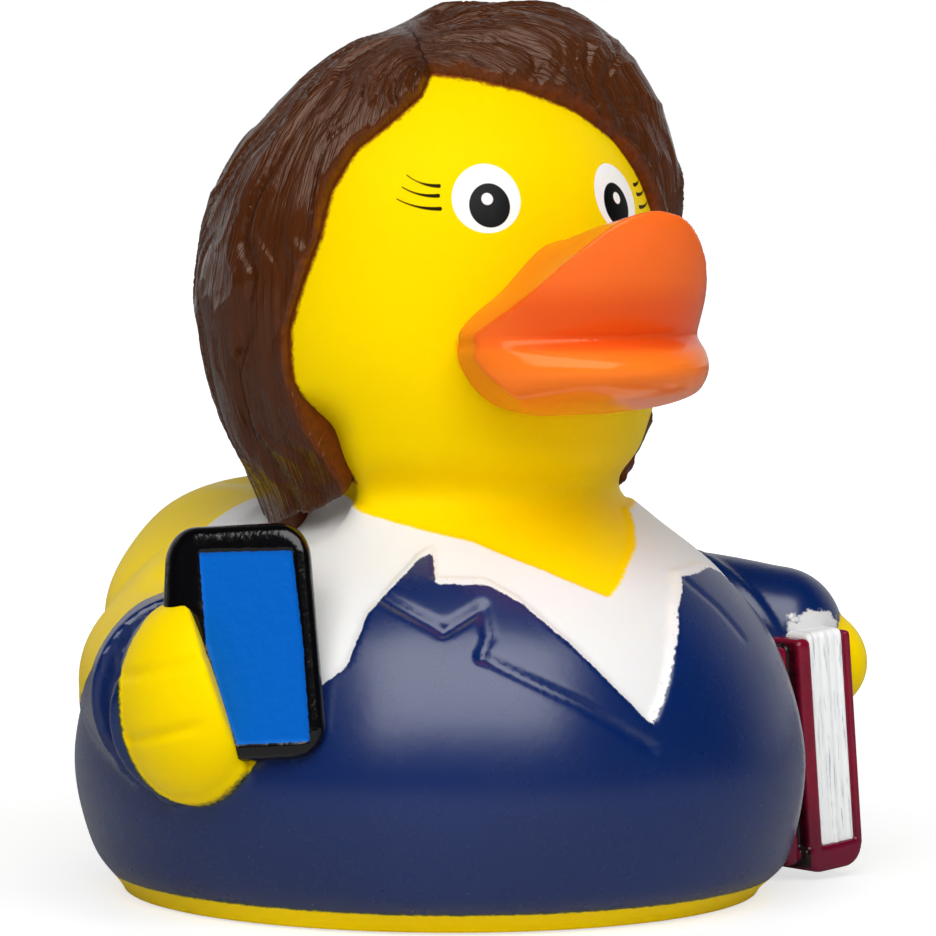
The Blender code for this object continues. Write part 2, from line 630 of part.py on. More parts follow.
def cavity_form():
    """The hollow inside: the plain form drawn in by the wall, round the socket."""
    turn = np.radians(np.linspace(0, 360, 60, endpoint=False))
    rows = [row for row in plain_stations(inset=WALL) if WALL <= row[0] <= CROWN_HEIGHT - WALL]
    hollow = loft("hollow", [[(a * math.sin(t), -b * math.cos(t), z) for t in turn] for z, a, b in rows])
    cast(hollow, 4 * MOULD_GRAIN, 2)
    reduce_facets(hollow, CAVITY_FACETS)
    socket = turned("socket", (
        (SOCKET_RADIUS + SOCKET_WALL, -WALL),
        (SOCKET_RADIUS + SOCKET_WALL, SOCKET_DEPTH),
    ))
    cut(hollow, socket)
    return hollow


def duck_body():
    forms = [plain_form(), hair_form(), bill_form(), tail_form(), phone_form()]
    forms += arm_forms() + hand_forms() + book_forms()
    body = join_forms("duck_body", forms)
    cast(body, MOULD_GRAIN, 3)
    sculpt(body)
    reduce_facets(body, BODY_FACETS)
    cut(body, foot_slice())
    cut(body, cavity_form())
    bore = turned("bore", ((SOCKET_RADIUS, -WALL), (SOCKET_RADIUS, SOCKET_DEPTH + WALL)))
    cut(body, bore)
    body.data.materials.append(vinyl("yellow_vinyl", YELLOW, 0.35))
    body.data.shade_smooth()
    body.data.set_sharp_from_angle(angle=math.radians(40))
    return body


def squeaker():
    """A turned plug with a vent, held in the socket by its flange on the inside."""
    seat = SOCKET_RADIUS - PLUG_CLEARANCE
    plug = turned("squeaker", (
        (VENT_RADIUS, PLUG_RECESS), (seat, PLUG_RECESS),
        (seat, SOCKET_DEPTH + PLUG_CLEARANCE),
        (seat + PLUG_FLANGE, SOCKET_DEPTH + PLUG_CLEARANCE),
        (seat + PLUG_FLANGE, SOCKET_DEPTH + PLUG_CLEARANCE + PLUG_FLANGE),
        (VENT_RADIUS, SOCKET_DEPTH + PLUG_CLEARANCE + PLUG_FLANGE),
    ), ring_shaped=True)
    plug.data.materials.append(vinyl("squeaker_white", SQUEAKER_WHITE, 0.45))
    return plug


clear_scene()
duck_body()
squeaker()
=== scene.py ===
import math

import bmesh
import bpy
import numpy as np
from mathutils import Euler, Matrix, Vector, noise


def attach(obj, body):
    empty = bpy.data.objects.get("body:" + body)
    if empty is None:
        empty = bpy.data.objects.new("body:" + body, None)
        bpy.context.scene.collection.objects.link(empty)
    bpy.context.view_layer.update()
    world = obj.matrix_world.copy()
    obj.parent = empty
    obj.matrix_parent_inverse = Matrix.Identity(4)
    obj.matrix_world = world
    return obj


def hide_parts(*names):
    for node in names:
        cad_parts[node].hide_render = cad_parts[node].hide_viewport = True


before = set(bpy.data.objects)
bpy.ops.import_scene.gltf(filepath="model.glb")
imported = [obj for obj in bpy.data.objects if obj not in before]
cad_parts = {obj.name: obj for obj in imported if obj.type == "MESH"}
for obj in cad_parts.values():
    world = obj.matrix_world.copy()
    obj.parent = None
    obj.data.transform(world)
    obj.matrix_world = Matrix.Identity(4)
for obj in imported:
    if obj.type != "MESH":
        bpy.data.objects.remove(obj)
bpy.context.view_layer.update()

# Sizes in metres, the same frame as the CAD: the duck looks along -Y and stands on Z = 0
MM = 0.001

# Plain form of body, neck and head: height, radius, and how much longer than wide it is
BODY_STATIONS = (
    (0.0, 0.0302, 0.0014), (0.0054, 0.03328, 0.0014), (0.0135, 0.0346, 0.0014),
    (0.0231, 0.03208, 0.0014), (0.03, 0.0274, 0.0007), (0.0356, 0.02046, 0.0),
    (0.0391, 0.0172, 0.0), (0.0435, 0.01963, 0.0), (0.053, 0.0217, 0.0),
    (0.066, 0.0204, 0.0), (0.074, 0.01632, 0.0), (0.0798, 0.00959, 0.0), (0.082, 0.0004, 0.0),
)
PLAIN_COLUMNS = 220

# The body is slimmer at its left, the shoulders lie lower at the sides, and the neck under the hair
# is thin; each fades in and out between a start and a span, in height or in azimuth
LEFT_SLIMMER = 0.0013
LEFT_SLIMMER_TOP = (0.027, 0.008)
LEFT_SLIMMER_FOOT = 0.012
SHOULDER_DROP = 0.002
SHOULDER_DROP_FROM = (0.027, 0.008)
SHOULDER_DROP_TO = (0.0392, 0.006)
SHOULDER_DROP_SIDE = (52, 40)
NECK_SLIMMER = 0.003
NECK_SLIMMER_FROM = (0.034, 0.003)
NECK_SLIMMER_TO = (0.0445, 0.0045)
NECK_SLIMMER_SIDE = (56, 16)

# The skin's radius where its paint is unrolled, and the middle of the head
SHOULDER_RADIUS = 0.0274
CHEEK_RADIUS = 0.0217
EYE_RADIUS = 0.0203
HEAD_CENTRE = np.array((0.0, 0.0, 0.06))

# Hair: height and radius from nape to crown, the sweep to the left, and the parting
HAIR_STATIONS = (
    (0.0325, 0.0156), (0.0385, 0.0178), (0.0453, 0.0211), (0.0533, 0.02315), (0.059, 0.0235),
    (0.0676, 0.022), (0.0752, 0.0179), (0.0813, 0.011), (0.0843, 0.0004),
)
SWEEP_VOLUME = 0.0036
SWEEP_CENTRE = np.array((0.012, -0.006, 0.079))
SWEEP_SPREAD = 0.013
CROWN_DIP = 0.0017
CROWN_DIP_CENTRE = np.array((-0.0115, 0.0075, 0.079))
CROWN_DIP_SPREAD = 0.012
HAIR_EDGE = 0.0005
HAIR_EDGE_DEPTH = 0.001
HAIR_RAMP = 0.006
PARTING_FRONT = np.array((-0.0083, -0.0106, 0.0785))
PARTING_BACK = np.array((-0.001, 0.008, 0.0838))
HAIR_GRAIN = 0.00029
HAIR_FACETS = 196000

# Carved locks and the strands on them: how many, and how high in millimetres
LOCK_COUNT = 30
LOCK_HEIGHT = 0.62
LOCK_STEP = 0.36
STRANDS = ((61, 0.22), (118, 0.14))

# Edge of the face in the hair: azimuth in degrees and height, round from the duck's right
FACE_EDGE = (
    (-95, 0.03), (-95, 0.0355), (-84, 0.0361), (-74, 0.0372), (-62, 0.0398), (-66, 0.0424),
    (-70, 0.0455), (-74, 0.05), (-74, 0.0545),
    (-70, 0.059), (-66, 0.063), (-64, 0.0675), (-59, 0.0712), (-49, 0.074), (-41, 0.0762),
    (-38, 0.0784), (-20, 0.0779), (0, 0.0768), (20, 0.075), (34, 0.0722), (41, 0.0685),
    (46, 0.0645), (60, 0.059), (72, 0.0545), (74, 0.05), (68, 0.045),
    (62, 0.0398), (74, 0.0372), (84, 0.0361), (95, 0.0355), (95, 0.03),
)

# Bill: height, half width and reach of each level, and how far its top dips to the head
BILL_LEVELS = (
    (0.0466, 0.004, 0.0225), (0.0474, 0.0078, 0.0268), (0.0487, 0.0104, 0.0318),
    (0.0501, 0.0118, 0.0342), (0.0514, 0.0124, 0.0347), (0.0526, 0.0126, 0.0338),
    (0.0535, 0.0124, 0.032), (0.0541, 0.0125, 0.0314), (0.055, 0.0122, 0.032),
    (0.057, 0.0111, 0.0333), (0.0595, 0.0094, 0.0345), (0.062, 0.0073, 0.0352),
    (0.064, 0.005, 0.0355), (0.0652, 0.003, 0.0355), (0.0658, 0.0006, 0.0353),
)
BILL_ROOT = 0.015
BILL_ENDS = ((0.93, 0.33), (0.83, 0.66), (0.74, 1.0))
BILL_ARC_HALF_WIDTH = 0.0129
BILL_ARC_ROOT = 0.0215
BILL_TOP_DIP = 0.003
BILL_DIP_START = 0.02
BILL_MOUTH = 0.0538
BILL_GRAIN = 0.00026

# Edge of the orange paint on the head, azimuth and height
BILL_PAINT = (
    (-11.7, 0.06), (-21.4, 0.0562), (-29.9, 0.0534), (-29.4, 0.0515), (-23.2, 0.0491),
    (-11.2, 0.0475), (0, 0.0464), (11.2, 0.0475), (23.2, 0.0491), (29.4, 0.0515),
    (29.9, 0.0534), (21.4, 0.0562), (11.7, 0.06), (0, 0.062),
)

# Tail: depth, height, half width and half thickness of each section
TAIL_SECTIONS = (
    (0.0, 0.0234, 0.0268, 0.0134), (0.012, 0.0245, 0.0274, 0.0132),
    (0.0215, 0.0259, 0.025, 0.0119), (0.0295, 0.0299, 0.0175, 0.0085),
    (0.0342, 0.0326, 0.0112, 0.0048), (0.036, 0.0333, 0.0044, 0.0013),
)

# Arms and hands; HAND_SIDE points across the photographed view, and the mitt ends flat against it
RIGHT_ARM = ((-0.017, 0.013, 0.025), (-0.0262, 0.007, 0.0215), (-0.0306, -0.0042, 0.0207))
RIGHT_ARM_RADII = (0.0088, 0.0086, 0.0095)
LEFT_ARM = ((0.015, 0.005, 0.0235), (0.0262, -0.0035, 0.0243), (0.0343, -0.0088, 0.0234))
LEFT_ARM_RADII = (0.0092, 0.0074, 0.0066)
CUFF_RADIUS = 0.0078
CUFF_RIM = 0.0009
CUFF_AHEAD = 0.0052
CUFF_DROP = 0.0008
RIGHT_HAND = (-0.0338, -0.0098, 0.021)
RIGHT_HAND_RADII = (0.0063, 0.0082, 0.0094)
HAND_SIDE = Vector((0.829, -0.559, 0.0))
HAND_LIMIT = -0.02
HAND_SLOPE = 0.36
HAND_GROOVES = (-0.0036, 0.0024)
HAND_GROOVE_TILT = 0.28
HAND_GROOVE_DEPTH = 0.00036
HAND_GROOVE_WIDTH = 0.0005
LEFT_HAND = (0.0388, -0.0092, 0.0205)
LEFT_HAND_RADII = (0.0042, 0.0066, 0.0052)

# Phone and book
PHONE_WIDTH = 0.0152
PHONE_HEIGHT = 0.0216
PHONE_THICKNESS = 0.0036
PHONE_CORNER = 0.0031
PHONE_CENTRE = (-0.0312, -0.0146, 0.0264)
PHONE_ROOT = 0.0062
PHONE_TURN = Euler((math.radians(-8.0), math.radians(-4.0), math.radians(-52.0)), "YXZ")
PHONE_TAPER = 0.19
PHONE_RIM = 0.0015
PHONE_GRAIN = 0.00022
PHONE_SIDE_TURN = 0.34
SCREEN = ((-4.0, 8.3), (5.7, 8.1), (6.1, 0.0), (6.1, -9.3), (-0.4, -9.3), (-3.2, 0.0))
SCREEN_DEPTH = 0.00022
BOOK_THICKNESS = 0.0078
BOOK_WIDTH = 0.015
BOOK_HEIGHT = 0.0238
BOOK_COVER = 0.0009
BOOK_CENTRE = (0.0331, -0.0106, 0.0126)
BOOK_TURN = math.radians(4.0)
BOOK_LEAN = math.radians(-5.0)
BOOK_FOOT = 0.0026
BOOK_FOOT_CORNER = 0.0022
BOOK_RIM = 0.0014
BOOK_GRAIN = 0.0002
RIDGE_WIDTH = 0.0019
RIDGE_DEPTH = 0.01
PAGE_LEFT = -0.0014
PAGE_GRAIN = 0.00018
SHEET_WAVES = ((0.00007, 0.00016, 0), (0.00006, 0.00029, 2))
BOOK_SPRAY = ((0.029, -0.016, 0.0246), (0.033, -0.0165, 0.0252), (0.0372, -0.016, 0.025))
BOOK_SPRAY_RADII = (0.0014, 0.002, 0.0016)

# Jacket and shirt in low relief
JACKET_LIFT = 0.0006
SHIRT_LIFT = 0.0004
RELIEF_EDGE = 0.0006
RELIEF_REACH = (0.0016, 0.001)
RELIEF_FRONT = (38, 20)
FOOT_BAND = 0.004
SKIN_GRAIN = 0.00046
SKIN_FACETS = 194000

# Edges of the navy, of the shirt's neck and of the tail's yellow, azimuth and height
JACKET_EDGE = (
    (-205, -0.005), (-205, 0.033), (-120, 0.033), (-95, 0.0335), (-80, 0.032), (-70, 0.0285),
    (-63, 0.0235), (-58, 0.0205), (-49, 0.0244), (-47, 0.0289), (-43.5, 0.0311),
    (-38.5, 0.0337), (-35.7, 0.0342), (-34.8, 0.0316), (-25, 0.0315), (-19.3, 0.0299), (-12.4, 0.0262),
    (-1.4, 0.0188), (2, 0.0215), (6.3, 0.0252), (11.9, 0.0287), (19.9, 0.0313), (35, 0.0317),
    (39, 0.031), (43, 0.0276), (50, 0.0244), (57, 0.029), (80, 0.033), (205, 0.033), (205, -0.005),
)
NECKLINE = (
    (-205, 0.0376), (-91, 0.038), (-73, 0.0386), (-60, 0.0376), (-51, 0.037), (-26, 0.035),
    (-12, 0.0325), (-1, 0.03), (10, 0.0327), (18, 0.034), (35, 0.037), (60, 0.0376), (73, 0.0386),
    (91, 0.038), (205, 0.0376), (205, -0.005), (-205, -0.005),
)
TAIL_PAINT = (
    (180, 0.0362), (150, 0.0358), (125, 0.0343), (101, 0.0309), (92, 0.0296), (90.5, 0.0276),
    (91, 0.0252), (92, 0.0231), (98, 0.0205), (112, 0.018), (135, 0.0165), (160, 0.0158), (180, 0.0156),
)

# Pressed creases of the lapels, azimuth and height
CREASES = (
    ((-44.4, 0.0298), (-33.8, 0.0272)),
    ((-33.2, 0.0271), (-26.4, 0.029), (-26.1, 0.0265), (-27.5, 0.025)),
    ((-27.2, 0.0249), (-12.5, 0.0207), (-1.9, 0.0166)),
    ((20.5, 0.0302), (23.7, 0.0278), (25.8, 0.0252)),
)
CREASE_SHARES = (0.9, 1.0, 0.8, 0.35)
CREASE_DEPTH = 0.00042
CREASE_HALF_WIDTH = 0.00045

# How far the paint of each area reaches round its form, and what stands for no paint
FAR_OUT = -0.01
SLEEVE_PROUD = 0.0022
SLEEVE_REACH = 0.0012
SLEEVE_TOP = 0.04
HUMP_PROUD = 0.0012
HUMP_FOOT = 0.029
RIGHT_HAND_REACH = 0.0004
RIGHT_CUFF_TURN = 0.0275
LEFT_HAND_REACH = 0.0006
LEFT_CUFF = (0.0385, 0.0245)
HAIR_SPRAY_FOOT = 0.0402
HAIR_SPRAY_RADIUS = 0.024


def tint(red, green, blue):
    """A colour as the eye names it, 0 to 255, in the shader's linear scale."""
    def linear(value):
        value /= 255
        return value / 12.92 if value <= 0.04045 else ((value + 0.055) / 1.055) ** 2.4
    return (linear(red), linear(green), linear(blue), 1.0)


# Curves, bands and closed forms

def smooth_curve(points, steps):
    """A smooth curve through the points, with this many steps between two of them."""
    row = np.array(points, dtype=float)
    row = np.vstack([2 * row[0] - row[1], row, 2 * row[-1] - row[-2]])
    t = np.linspace(0, 1, steps, endpoint=False)[:, None]
    spans = []
    for a, b, c, d in zip(row[:-3], row[1:-2], row[2:-1], row[3:]):
        spans.append(b + 0.5 * t * (c - a + t * (2 * a - 5 * b + 4 * c - d + t * (3 * (b - c) + d - a))))
    return np.vstack(spans + [row[-2][None]])


def smooth_step(share):
    share = np.clip(share, 0, 1)
    return share * share * (3 - 2 * share)


def fade(value, start, span):
    """0 up to the start and 1 from a span beyond it."""
    return smooth_step((value - start) / span)


def new_object(name, mesh):
    item = bpy.data.objects.new(name, mesh)
    bpy.context.collection.objects.link(item)
    return item


def loft(name, rings):
    """A closed body through rings of points, capped at both ends."""
    rows, columns = len(rings), len(rings[0])
    corners = np.asarray(rings).reshape(-1, 3)
    faces = []
    for i in range(rows - 1):
        for j in range(columns):
            here, above, k = i * columns, (i + 1) * columns, (j + 1) % columns
            faces.append((here + j, here + k, above + k, above + j))
    faces.append(tuple(range(columns))[::-1])
    faces.append(tuple(range((rows - 1) * columns, rows * columns)))
    mesh = bpy.data.meshes.new(name)
    mesh.from_pydata([tuple(p) for p in corners], [], faces)
    form = bmesh.new()
    form.from_mesh(mesh)
    bmesh.ops.remove_doubles(form, verts=form.verts, dist=1e-6)
    bmesh.ops.recalc_face_normals(form, faces=form.faces)
    form.to_mesh(mesh)
    form.free()
    return new_object(name, mesh)


def ball(name, centre, radii, turn=0.0):
    """An ellipsoid, turned about the vertical through its centre."""
    bpy.ops.object.select_all(action="DESELECT")
    bpy.ops.mesh.primitive_uv_sphere_add(segments=64, ring_count=40, radius=1.0)
    item = bpy.context.object
    item.name = name
    item.data.transform(Matrix.Translation(centre) @ Matrix.Rotation(math.radians(turn), 4, "Z")
                        @ Matrix.Diagonal((*radii, 1.0)))
    return item


def limb(name, path, radii, columns=64, steps=14):
    """A round limb along a smooth path, with a radius at each of its points."""
    line = smooth_curve([(*point, radius) for point, radius in zip(path, radii)], steps)
    turn = np.linspace(0, 2 * math.pi, columns, endpoint=False)
    rings = []
    for i, row in enumerate(line):
        ahead = Vector(line[min(i + 1, len(line) - 1)][:3]) - Vector(line[max(i - 1, 0)][:3])
        across = ahead.cross(Vector((0, 0, 1))).normalized()
        over = across.cross(ahead).normalized()
        size = float(row[3])
        rings.append([Vector(row[:3]) + size * (math.cos(a) * across + math.sin(a) * over) for a in turn])
    return loft(name, rings)


def apply_modifiers(item):
    view = bpy.context.evaluated_depsgraph_get()
    mesh = bpy.data.meshes.new_from_object(item.evaluated_get(view))
    item.modifiers.clear()
    item.data = mesh


def join_forms(name, forms):
    form = bmesh.new()
    for piece in forms:
        form.from_mesh(piece.data)
    mesh = bpy.data.meshes.new(name)
    form.to_mesh(mesh)
    form.free()
    for piece in forms:
        bpy.data.objects.remove(piece)
    return new_object(name, mesh)


def cast(item, grain, passes):
    """Runs the joined forms together into one skin, with soft inner corners."""
    remesh = item.modifiers.new("cast", "REMESH")
    remesh.mode = "VOXEL"
    remesh.voxel_size = grain
    soften = item.modifiers.new("soften", "SMOOTH")
    soften.factor = 0.5
    soften.iterations = passes
    apply_modifiers(item)


def reduce_facets(item, facets):
    item.data.calc_loop_triangles()
    count = len(item.data.loop_triangles)
    if count > facets:
        decimate = item.modifiers.new("facets", "DECIMATE")
        decimate.ratio = facets / count
        apply_modifiers(item)


def read_points(item):
    flat = np.empty(3 * len(item.data.vertices))
    item.data.vertices.foreach_get("co", flat)
    return flat.reshape(-1, 3)


def read_normals(item):
    flat = np.empty(3 * len(item.data.vertices), dtype=np.float32)
    item.data.vertices.foreach_get("normal", flat)
    return flat.reshape(-1, 3).astype(float)


def write_points(item, points):
    item.data.vertices.foreach_set("co", points.ravel())
    item.data.update()


def write_field(item, name, values):
    """A number at every corner of the mesh, for the paint to read."""
    layer = item.data.attributes.new(name, "FLOAT", "POINT")
    layer.data.foreach_set("value", np.ascontiguousarray(values, dtype=np.float32))


# Where a point lies: on the unrolled body, in the hair, along a strand

def azimuth_of(points):
    return np.degrees(np.arctan2(points[:, 0], -points[:, 1]))


def line_distance(across, up, line):
    """Distance of each point from a line of straight stretches."""
    nearest = np.full(across.shape, 1e9)
    for (ax, ay), (bx, by) in zip(line[:-1], line[1:]):
        dx, dy = bx - ax, by - ay
        share = np.clip(((across - ax) * dx + (up - ay) * dy) / (dx * dx + dy * dy), 0, 1)
        nearest = np.minimum(nearest, np.hypot(across - ax - share * dx, up - ay - share * dy))
    return nearest


def outline_distance(across, up, outline):
    """Distance of each point from a closed outline, positive inside it."""
    closed = [*outline, outline[0]]
    nearest = line_distance(across, up, closed)
    inside = np.zeros(across.shape, dtype=bool)
    for (ax, ay), (bx, by) in zip(closed[:-1], closed[1:]):
        crosses = (ay > up) != (by > up)
        inside ^= crosses & (across < ax + (bx - ax) * (up - ay) / ((by - ay) or 1e-12))
    return np.where(inside, nearest, -nearest)


def unrolled(outline, radius=SHOULDER_RADIUS):
    return [(math.radians(a) * radius, z) for a, z in outline]


def limb_distance(points, path, radii):
    """Distance outside a limb along a smooth path, negative within it."""
    line = smooth_curve([(*p, r) for p, r in zip(path, radii)], 8)
    nearest = np.full(len(points), 1e9)
    for row in line:
        nearest = np.minimum(nearest, np.linalg.norm(points - row[:3], axis=1) - row[3])
    return nearest


def ball_distance(points, centre, radii):
    """About how far outside an ellipsoid a point is, negative within it."""
    scaled = (points - np.array(centre)) / np.array(radii)
    reach = np.linalg.norm(scaled, axis=1)
    return (reach - 1) * np.linalg.norm(points - np.array(centre), axis=1) / np.maximum(reach, 1e-6)


PLAIN = smooth_curve(BODY_STATIONS, 10)
PLAIN[:, 1] = np.maximum(PLAIN[:, 1], 0.0004)
NECK_HEIGHT, NECK_RADIUS = BODY_STATIONS[6][:2]
HEAD = PLAIN[PLAIN[:, 0] >= NECK_HEIGHT]
HEAD_POLAR = np.arctan2(HEAD[::-1, 1], HEAD[::-1, 0] - HEAD_CENTRE[2])
HEAD_REACH = np.hypot(HEAD[::-1, 1], HEAD[::-1, 0] - HEAD_CENTRE[2])


def head_reach(polar):
    """Distance from the head's centre to its skin, at an angle from straight up."""
    neck = NECK_RADIUS / np.sin(np.clip(polar, HEAD_POLAR[-1], 3.0))
    return np.where(polar > HEAD_POLAR[-1], neck, np.interp(polar, HEAD_POLAR, HEAD_REACH))


def hair_depth(azimuth, polar):
    """Distance from the face's edge along the head's skin, positive in the hair."""
    height = HEAD_CENTRE[2] + head_reach(polar) * np.cos(polar)
    return -outline_distance(np.radians(azimuth) * CHEEK_RADIUS, height, unrolled(FACE_EDGE, CHEEK_RADIUS))


def from_head_centre(points):
    """Direction and angle from straight up, seen from the head's centre."""
    ray = points - HEAD_CENTRE
    ray /= np.linalg.norm(ray, axis=1)[:, None]
    return ray, np.arccos(np.clip(ray[:, 2], -1, 1))


def strand_field(points):
    """Angle that stays the same along a strand from the parting, and the way along it."""
    front, back = PARTING_FRONT - HEAD_CENTRE, PARTING_BACK - HEAD_CENTRE
    pole = (front + back) / np.linalg.norm(front + back)
    along = front - back - pole * np.dot(front - back, pole)
    along /= np.linalg.norm(along)
    side = np.cross(pole, along)
    ray = from_head_centre(points)[0]
    fall = np.arccos(np.clip(ray @ pole, -1, 1))
    turn = np.arctan2(ray @ side, ray @ along)
    half = 0.5 * math.acos(np.dot(front, back) / np.linalg.norm(front) / np.linalg.norm(back))
    field = np.arccosh((fall * np.exp(1j * turn)) / half + 1e-9j)
    return field.imag, field.real


def drift(points, size, seed=0.0):
    """Soft noise from -1 to 1 whose waves are about this size."""
    shift = Vector((seed * 17.3, seed * 5.1, seed * 9.7))
    return np.array([noise.noise(Vector(p) / size + shift) for p in points])


# Skin: body, neck, head, tail, sleeves and hands in one moulding

def fist_form():
    """The mitt that holds the phone, flat along the phone's edge."""
    fist = ball("hand_right", RIGHT_HAND, RIGHT_HAND_RADII, turn=12)
    for corner in fist.data.vertices:
        limit = HAND_LIMIT + HAND_SLOPE * (RIGHT_HAND[2] - corner.co.z)
        beyond = corner.co.dot(HAND_SIDE) - limit
        if beyond > 0:
            corner.co -= HAND_SIDE * beyond * 0.92
    return fist


def cuff_form():
    """The raised rim of the sleeve round the mitt."""
    ahead = Vector(RIGHT_ARM[2]) - Vector(RIGHT_ARM[1])
    bpy.ops.object.select_all(action="DESELECT")
    bpy.ops.mesh.primitive_torus_add(major_segments=96, minor_segments=20, major_radius=CUFF_RADIUS,
                                     minor_radius=CUFF_RIM)
    cuff = bpy.context.object
    cuff.name = "cuff_right"
    facing = ahead.to_track_quat("Z", "Y").to_matrix().to_4x4()
    return put(cuff, Matrix.Translation(Vector(RIGHT_ARM[2]) + CUFF_AHEAD * ahead.normalized()
                                        - Vector((0, 0, CUFF_DROP))) @ facing)


def plain_form():
    """Body, neck and head in one turned form."""
    turn = np.radians(np.linspace(0, 360, PLAIN_COLUMNS, endpoint=False))
    sideways = [min(a, 360 - a) for a in np.degrees(turn)]
    rings = []
    for z, r, longer in PLAIN:
        slim = LEFT_SLIMMER * (1 - fade(z, *LEFT_SLIMMER_TOP)) * smooth_step(z / LEFT_SLIMMER_FOOT)
        neck = NECK_SLIMMER * fade(z, *NECK_SLIMMER_FROM) * (1 - fade(z, *NECK_SLIMMER_TO))
        drop = fade(z, *SHOULDER_DROP_FROM) * (1 - fade(z, *SHOULDER_DROP_TO))
        ring = []
        for t, side in zip(turn, sideways):
            thin = neck * fade(side, *NECK_SLIMMER_SIDE)
            across = (r - slim * max(math.sin(t), 0) - thin) * math.sin(t)
            lower = SHOULDER_DROP * fade(side, *SHOULDER_DROP_SIDE) * drop
            ring.append((across, -(r + longer - thin) * math.cos(t), z - lower))
        rings.append(ring)
    below = [(x, y, -2 * SKIN_GRAIN) for x, y, z in rings[0]]
    return loft("plain", [below] + rings)


def tail_form():
    turn = np.radians(np.linspace(0, 360, 96, endpoint=False))
    rings = [[(half * math.sin(t), y, z + tall * math.cos(t)) for t in turn]
             for y, z, half, tall in smooth_curve(TAIL_SECTIONS, 10)]
    return loft("tail", rings)


def press_jacket(points, normals):
    """Raises shirt and jacket off the neck and presses the lapels' creases into them."""
    azimuth = azimuth_of(points)
    across, up = np.radians(azimuth) * SHOULDER_RADIUS, points[:, 2]
    width = np.interp(up, PLAIN[:, 0], PLAIN[:, 1])
    on_body = 1 - fade(np.abs(np.hypot(points[:, 0], points[:, 1]) - width), *RELIEF_REACH)
    front = 1 - fade(np.abs(azimuth), *RELIEF_FRONT)
    jacket = smooth_step(outline_distance(across, up, unrolled(JACKET_EDGE)) / RELIEF_EDGE + 0.5)
    shirt = smooth_step(outline_distance(across, up, unrolled(NECKLINE)) / RELIEF_EDGE + 0.5)
    lift = JACKET_LIFT * jacket * front + SHIRT_LIFT * shirt
    for crease, share in zip(CREASES, CREASE_SHARES):
        away = line_distance(across, up, unrolled(crease)) / CREASE_HALF_WIDTH
        lift -= share * CREASE_DEPTH * front * np.exp(-away ** 2)
    lift *= on_body * smooth_step(up / FOOT_BAND)
    return points + normals * lift[:, None]


def crease_hand(points, normals):
    """Two shallow grooves between the fingers round the phone."""
    near = 1 - fade(ball_distance(points, RIGHT_HAND, RIGHT_HAND_RADII), 0.0004, 0.0008)
    side = points @ np.array(HAND_SIDE)
    near *= fade(side, -0.0312, 0.003) * fade(-side, 0.0205, 0.0025)
    rise = points[:, 2] - RIGHT_HAND[2] - HAND_GROOVE_TILT * (side + 0.0285)
    groove = np.zeros(len(points))
    for height in HAND_GROOVES:
        groove += np.exp(-((rise - height) / HAND_GROOVE_WIDTH) ** 2)
    return points - normals * (HAND_GROOVE_DEPTH * near * groove)[:, None]


def paint_fields(item, points):
    """Writes how far each point is from the edge of every painted area, in millimetres."""
    depth, up = points[:, 1], points[:, 2]
    turn = np.radians(azimuth_of(points))
    across, round_head = turn * SHOULDER_RADIUS, turn * CHEEK_RADIUS
    radius = np.hypot(points[:, 0], depth)
    proud = radius - np.interp(up, PLAIN[:, 0], PLAIN[:, 1])
    # Navy: the jacket and both sleeves, which stand out from the body
    arms = np.minimum(limb_distance(points, RIGHT_ARM, RIGHT_ARM_RADII),
                      limb_distance(points, LEFT_ARM, LEFT_ARM_RADII))
    sleeve = np.minimum(proud - SLEEVE_PROUD, SLEEVE_REACH - arms)
    sleeve = np.where(up > SLEEVE_TOP, FAR_OUT, sleeve)
    jacket = np.maximum(outline_distance(across, up, unrolled(JACKET_EDGE)), sleeve)
    # Yellow: the tail with its hump, and both hands as far as their cuffs
    tail = outline_distance(np.abs(across), up, unrolled(TAIL_PAINT))
    tail = np.where(depth > 0.0, tail, FAR_OUT)
    hump = np.minimum(np.minimum(proud - HUMP_PROUD, up - HUMP_FOOT), -FAR_OUT)
    tail = np.maximum(tail, np.where(depth > 0.004, hump, FAR_OUT))
    side = points @ np.array(HAND_SIDE)
    ahead = np.array(RIGHT_ARM[2]) - np.array(RIGHT_ARM[1])
    past_cuff = (points - np.array(RIGHT_ARM[2])) @ ahead / np.linalg.norm(ahead) - CUFF_AHEAD
    past_cuff += np.maximum(side + RIGHT_CUFF_TURN, 0)
    right_hand = RIGHT_HAND_REACH - ball_distance(points, RIGHT_HAND, RIGHT_HAND_RADII)
    left_hand = LEFT_HAND_REACH - ball_distance(points, LEFT_HAND, LEFT_HAND_RADII)
    below_cuff = 0.7 * (side - LEFT_CUFF[0]) + 0.7 * (LEFT_CUFF[1] - up)
    hands = np.maximum(np.minimum(right_hand, past_cuff), np.minimum(left_hand, below_cuff))
    # The bill's orange and the hair's brown on the head
    bill = outline_distance(round_head, up, unrolled(BILL_PAINT, CHEEK_RADIUS))
    bill = np.where(depth < 0, bill, 2 * FAR_OUT)
    hair = -outline_distance(round_head, up, unrolled(FACE_EDGE, CHEEK_RADIUS))
    hair = np.minimum(np.minimum(hair, up - HAIR_SPRAY_FOOT), HAIR_SPRAY_RADIUS - radius)
    fields = {
        "jacket": jacket, "shirt": outline_distance(across, up, unrolled(NECKLINE)), "tail": tail,
        "hands": hands, "bill_edge": bill, "hairline": hair,
        "spray": -limb_distance(points, BOOK_SPRAY, BOOK_SPRAY_RADII),
    }
    for name, values in fields.items():
        write_field(item, name, values / MM)


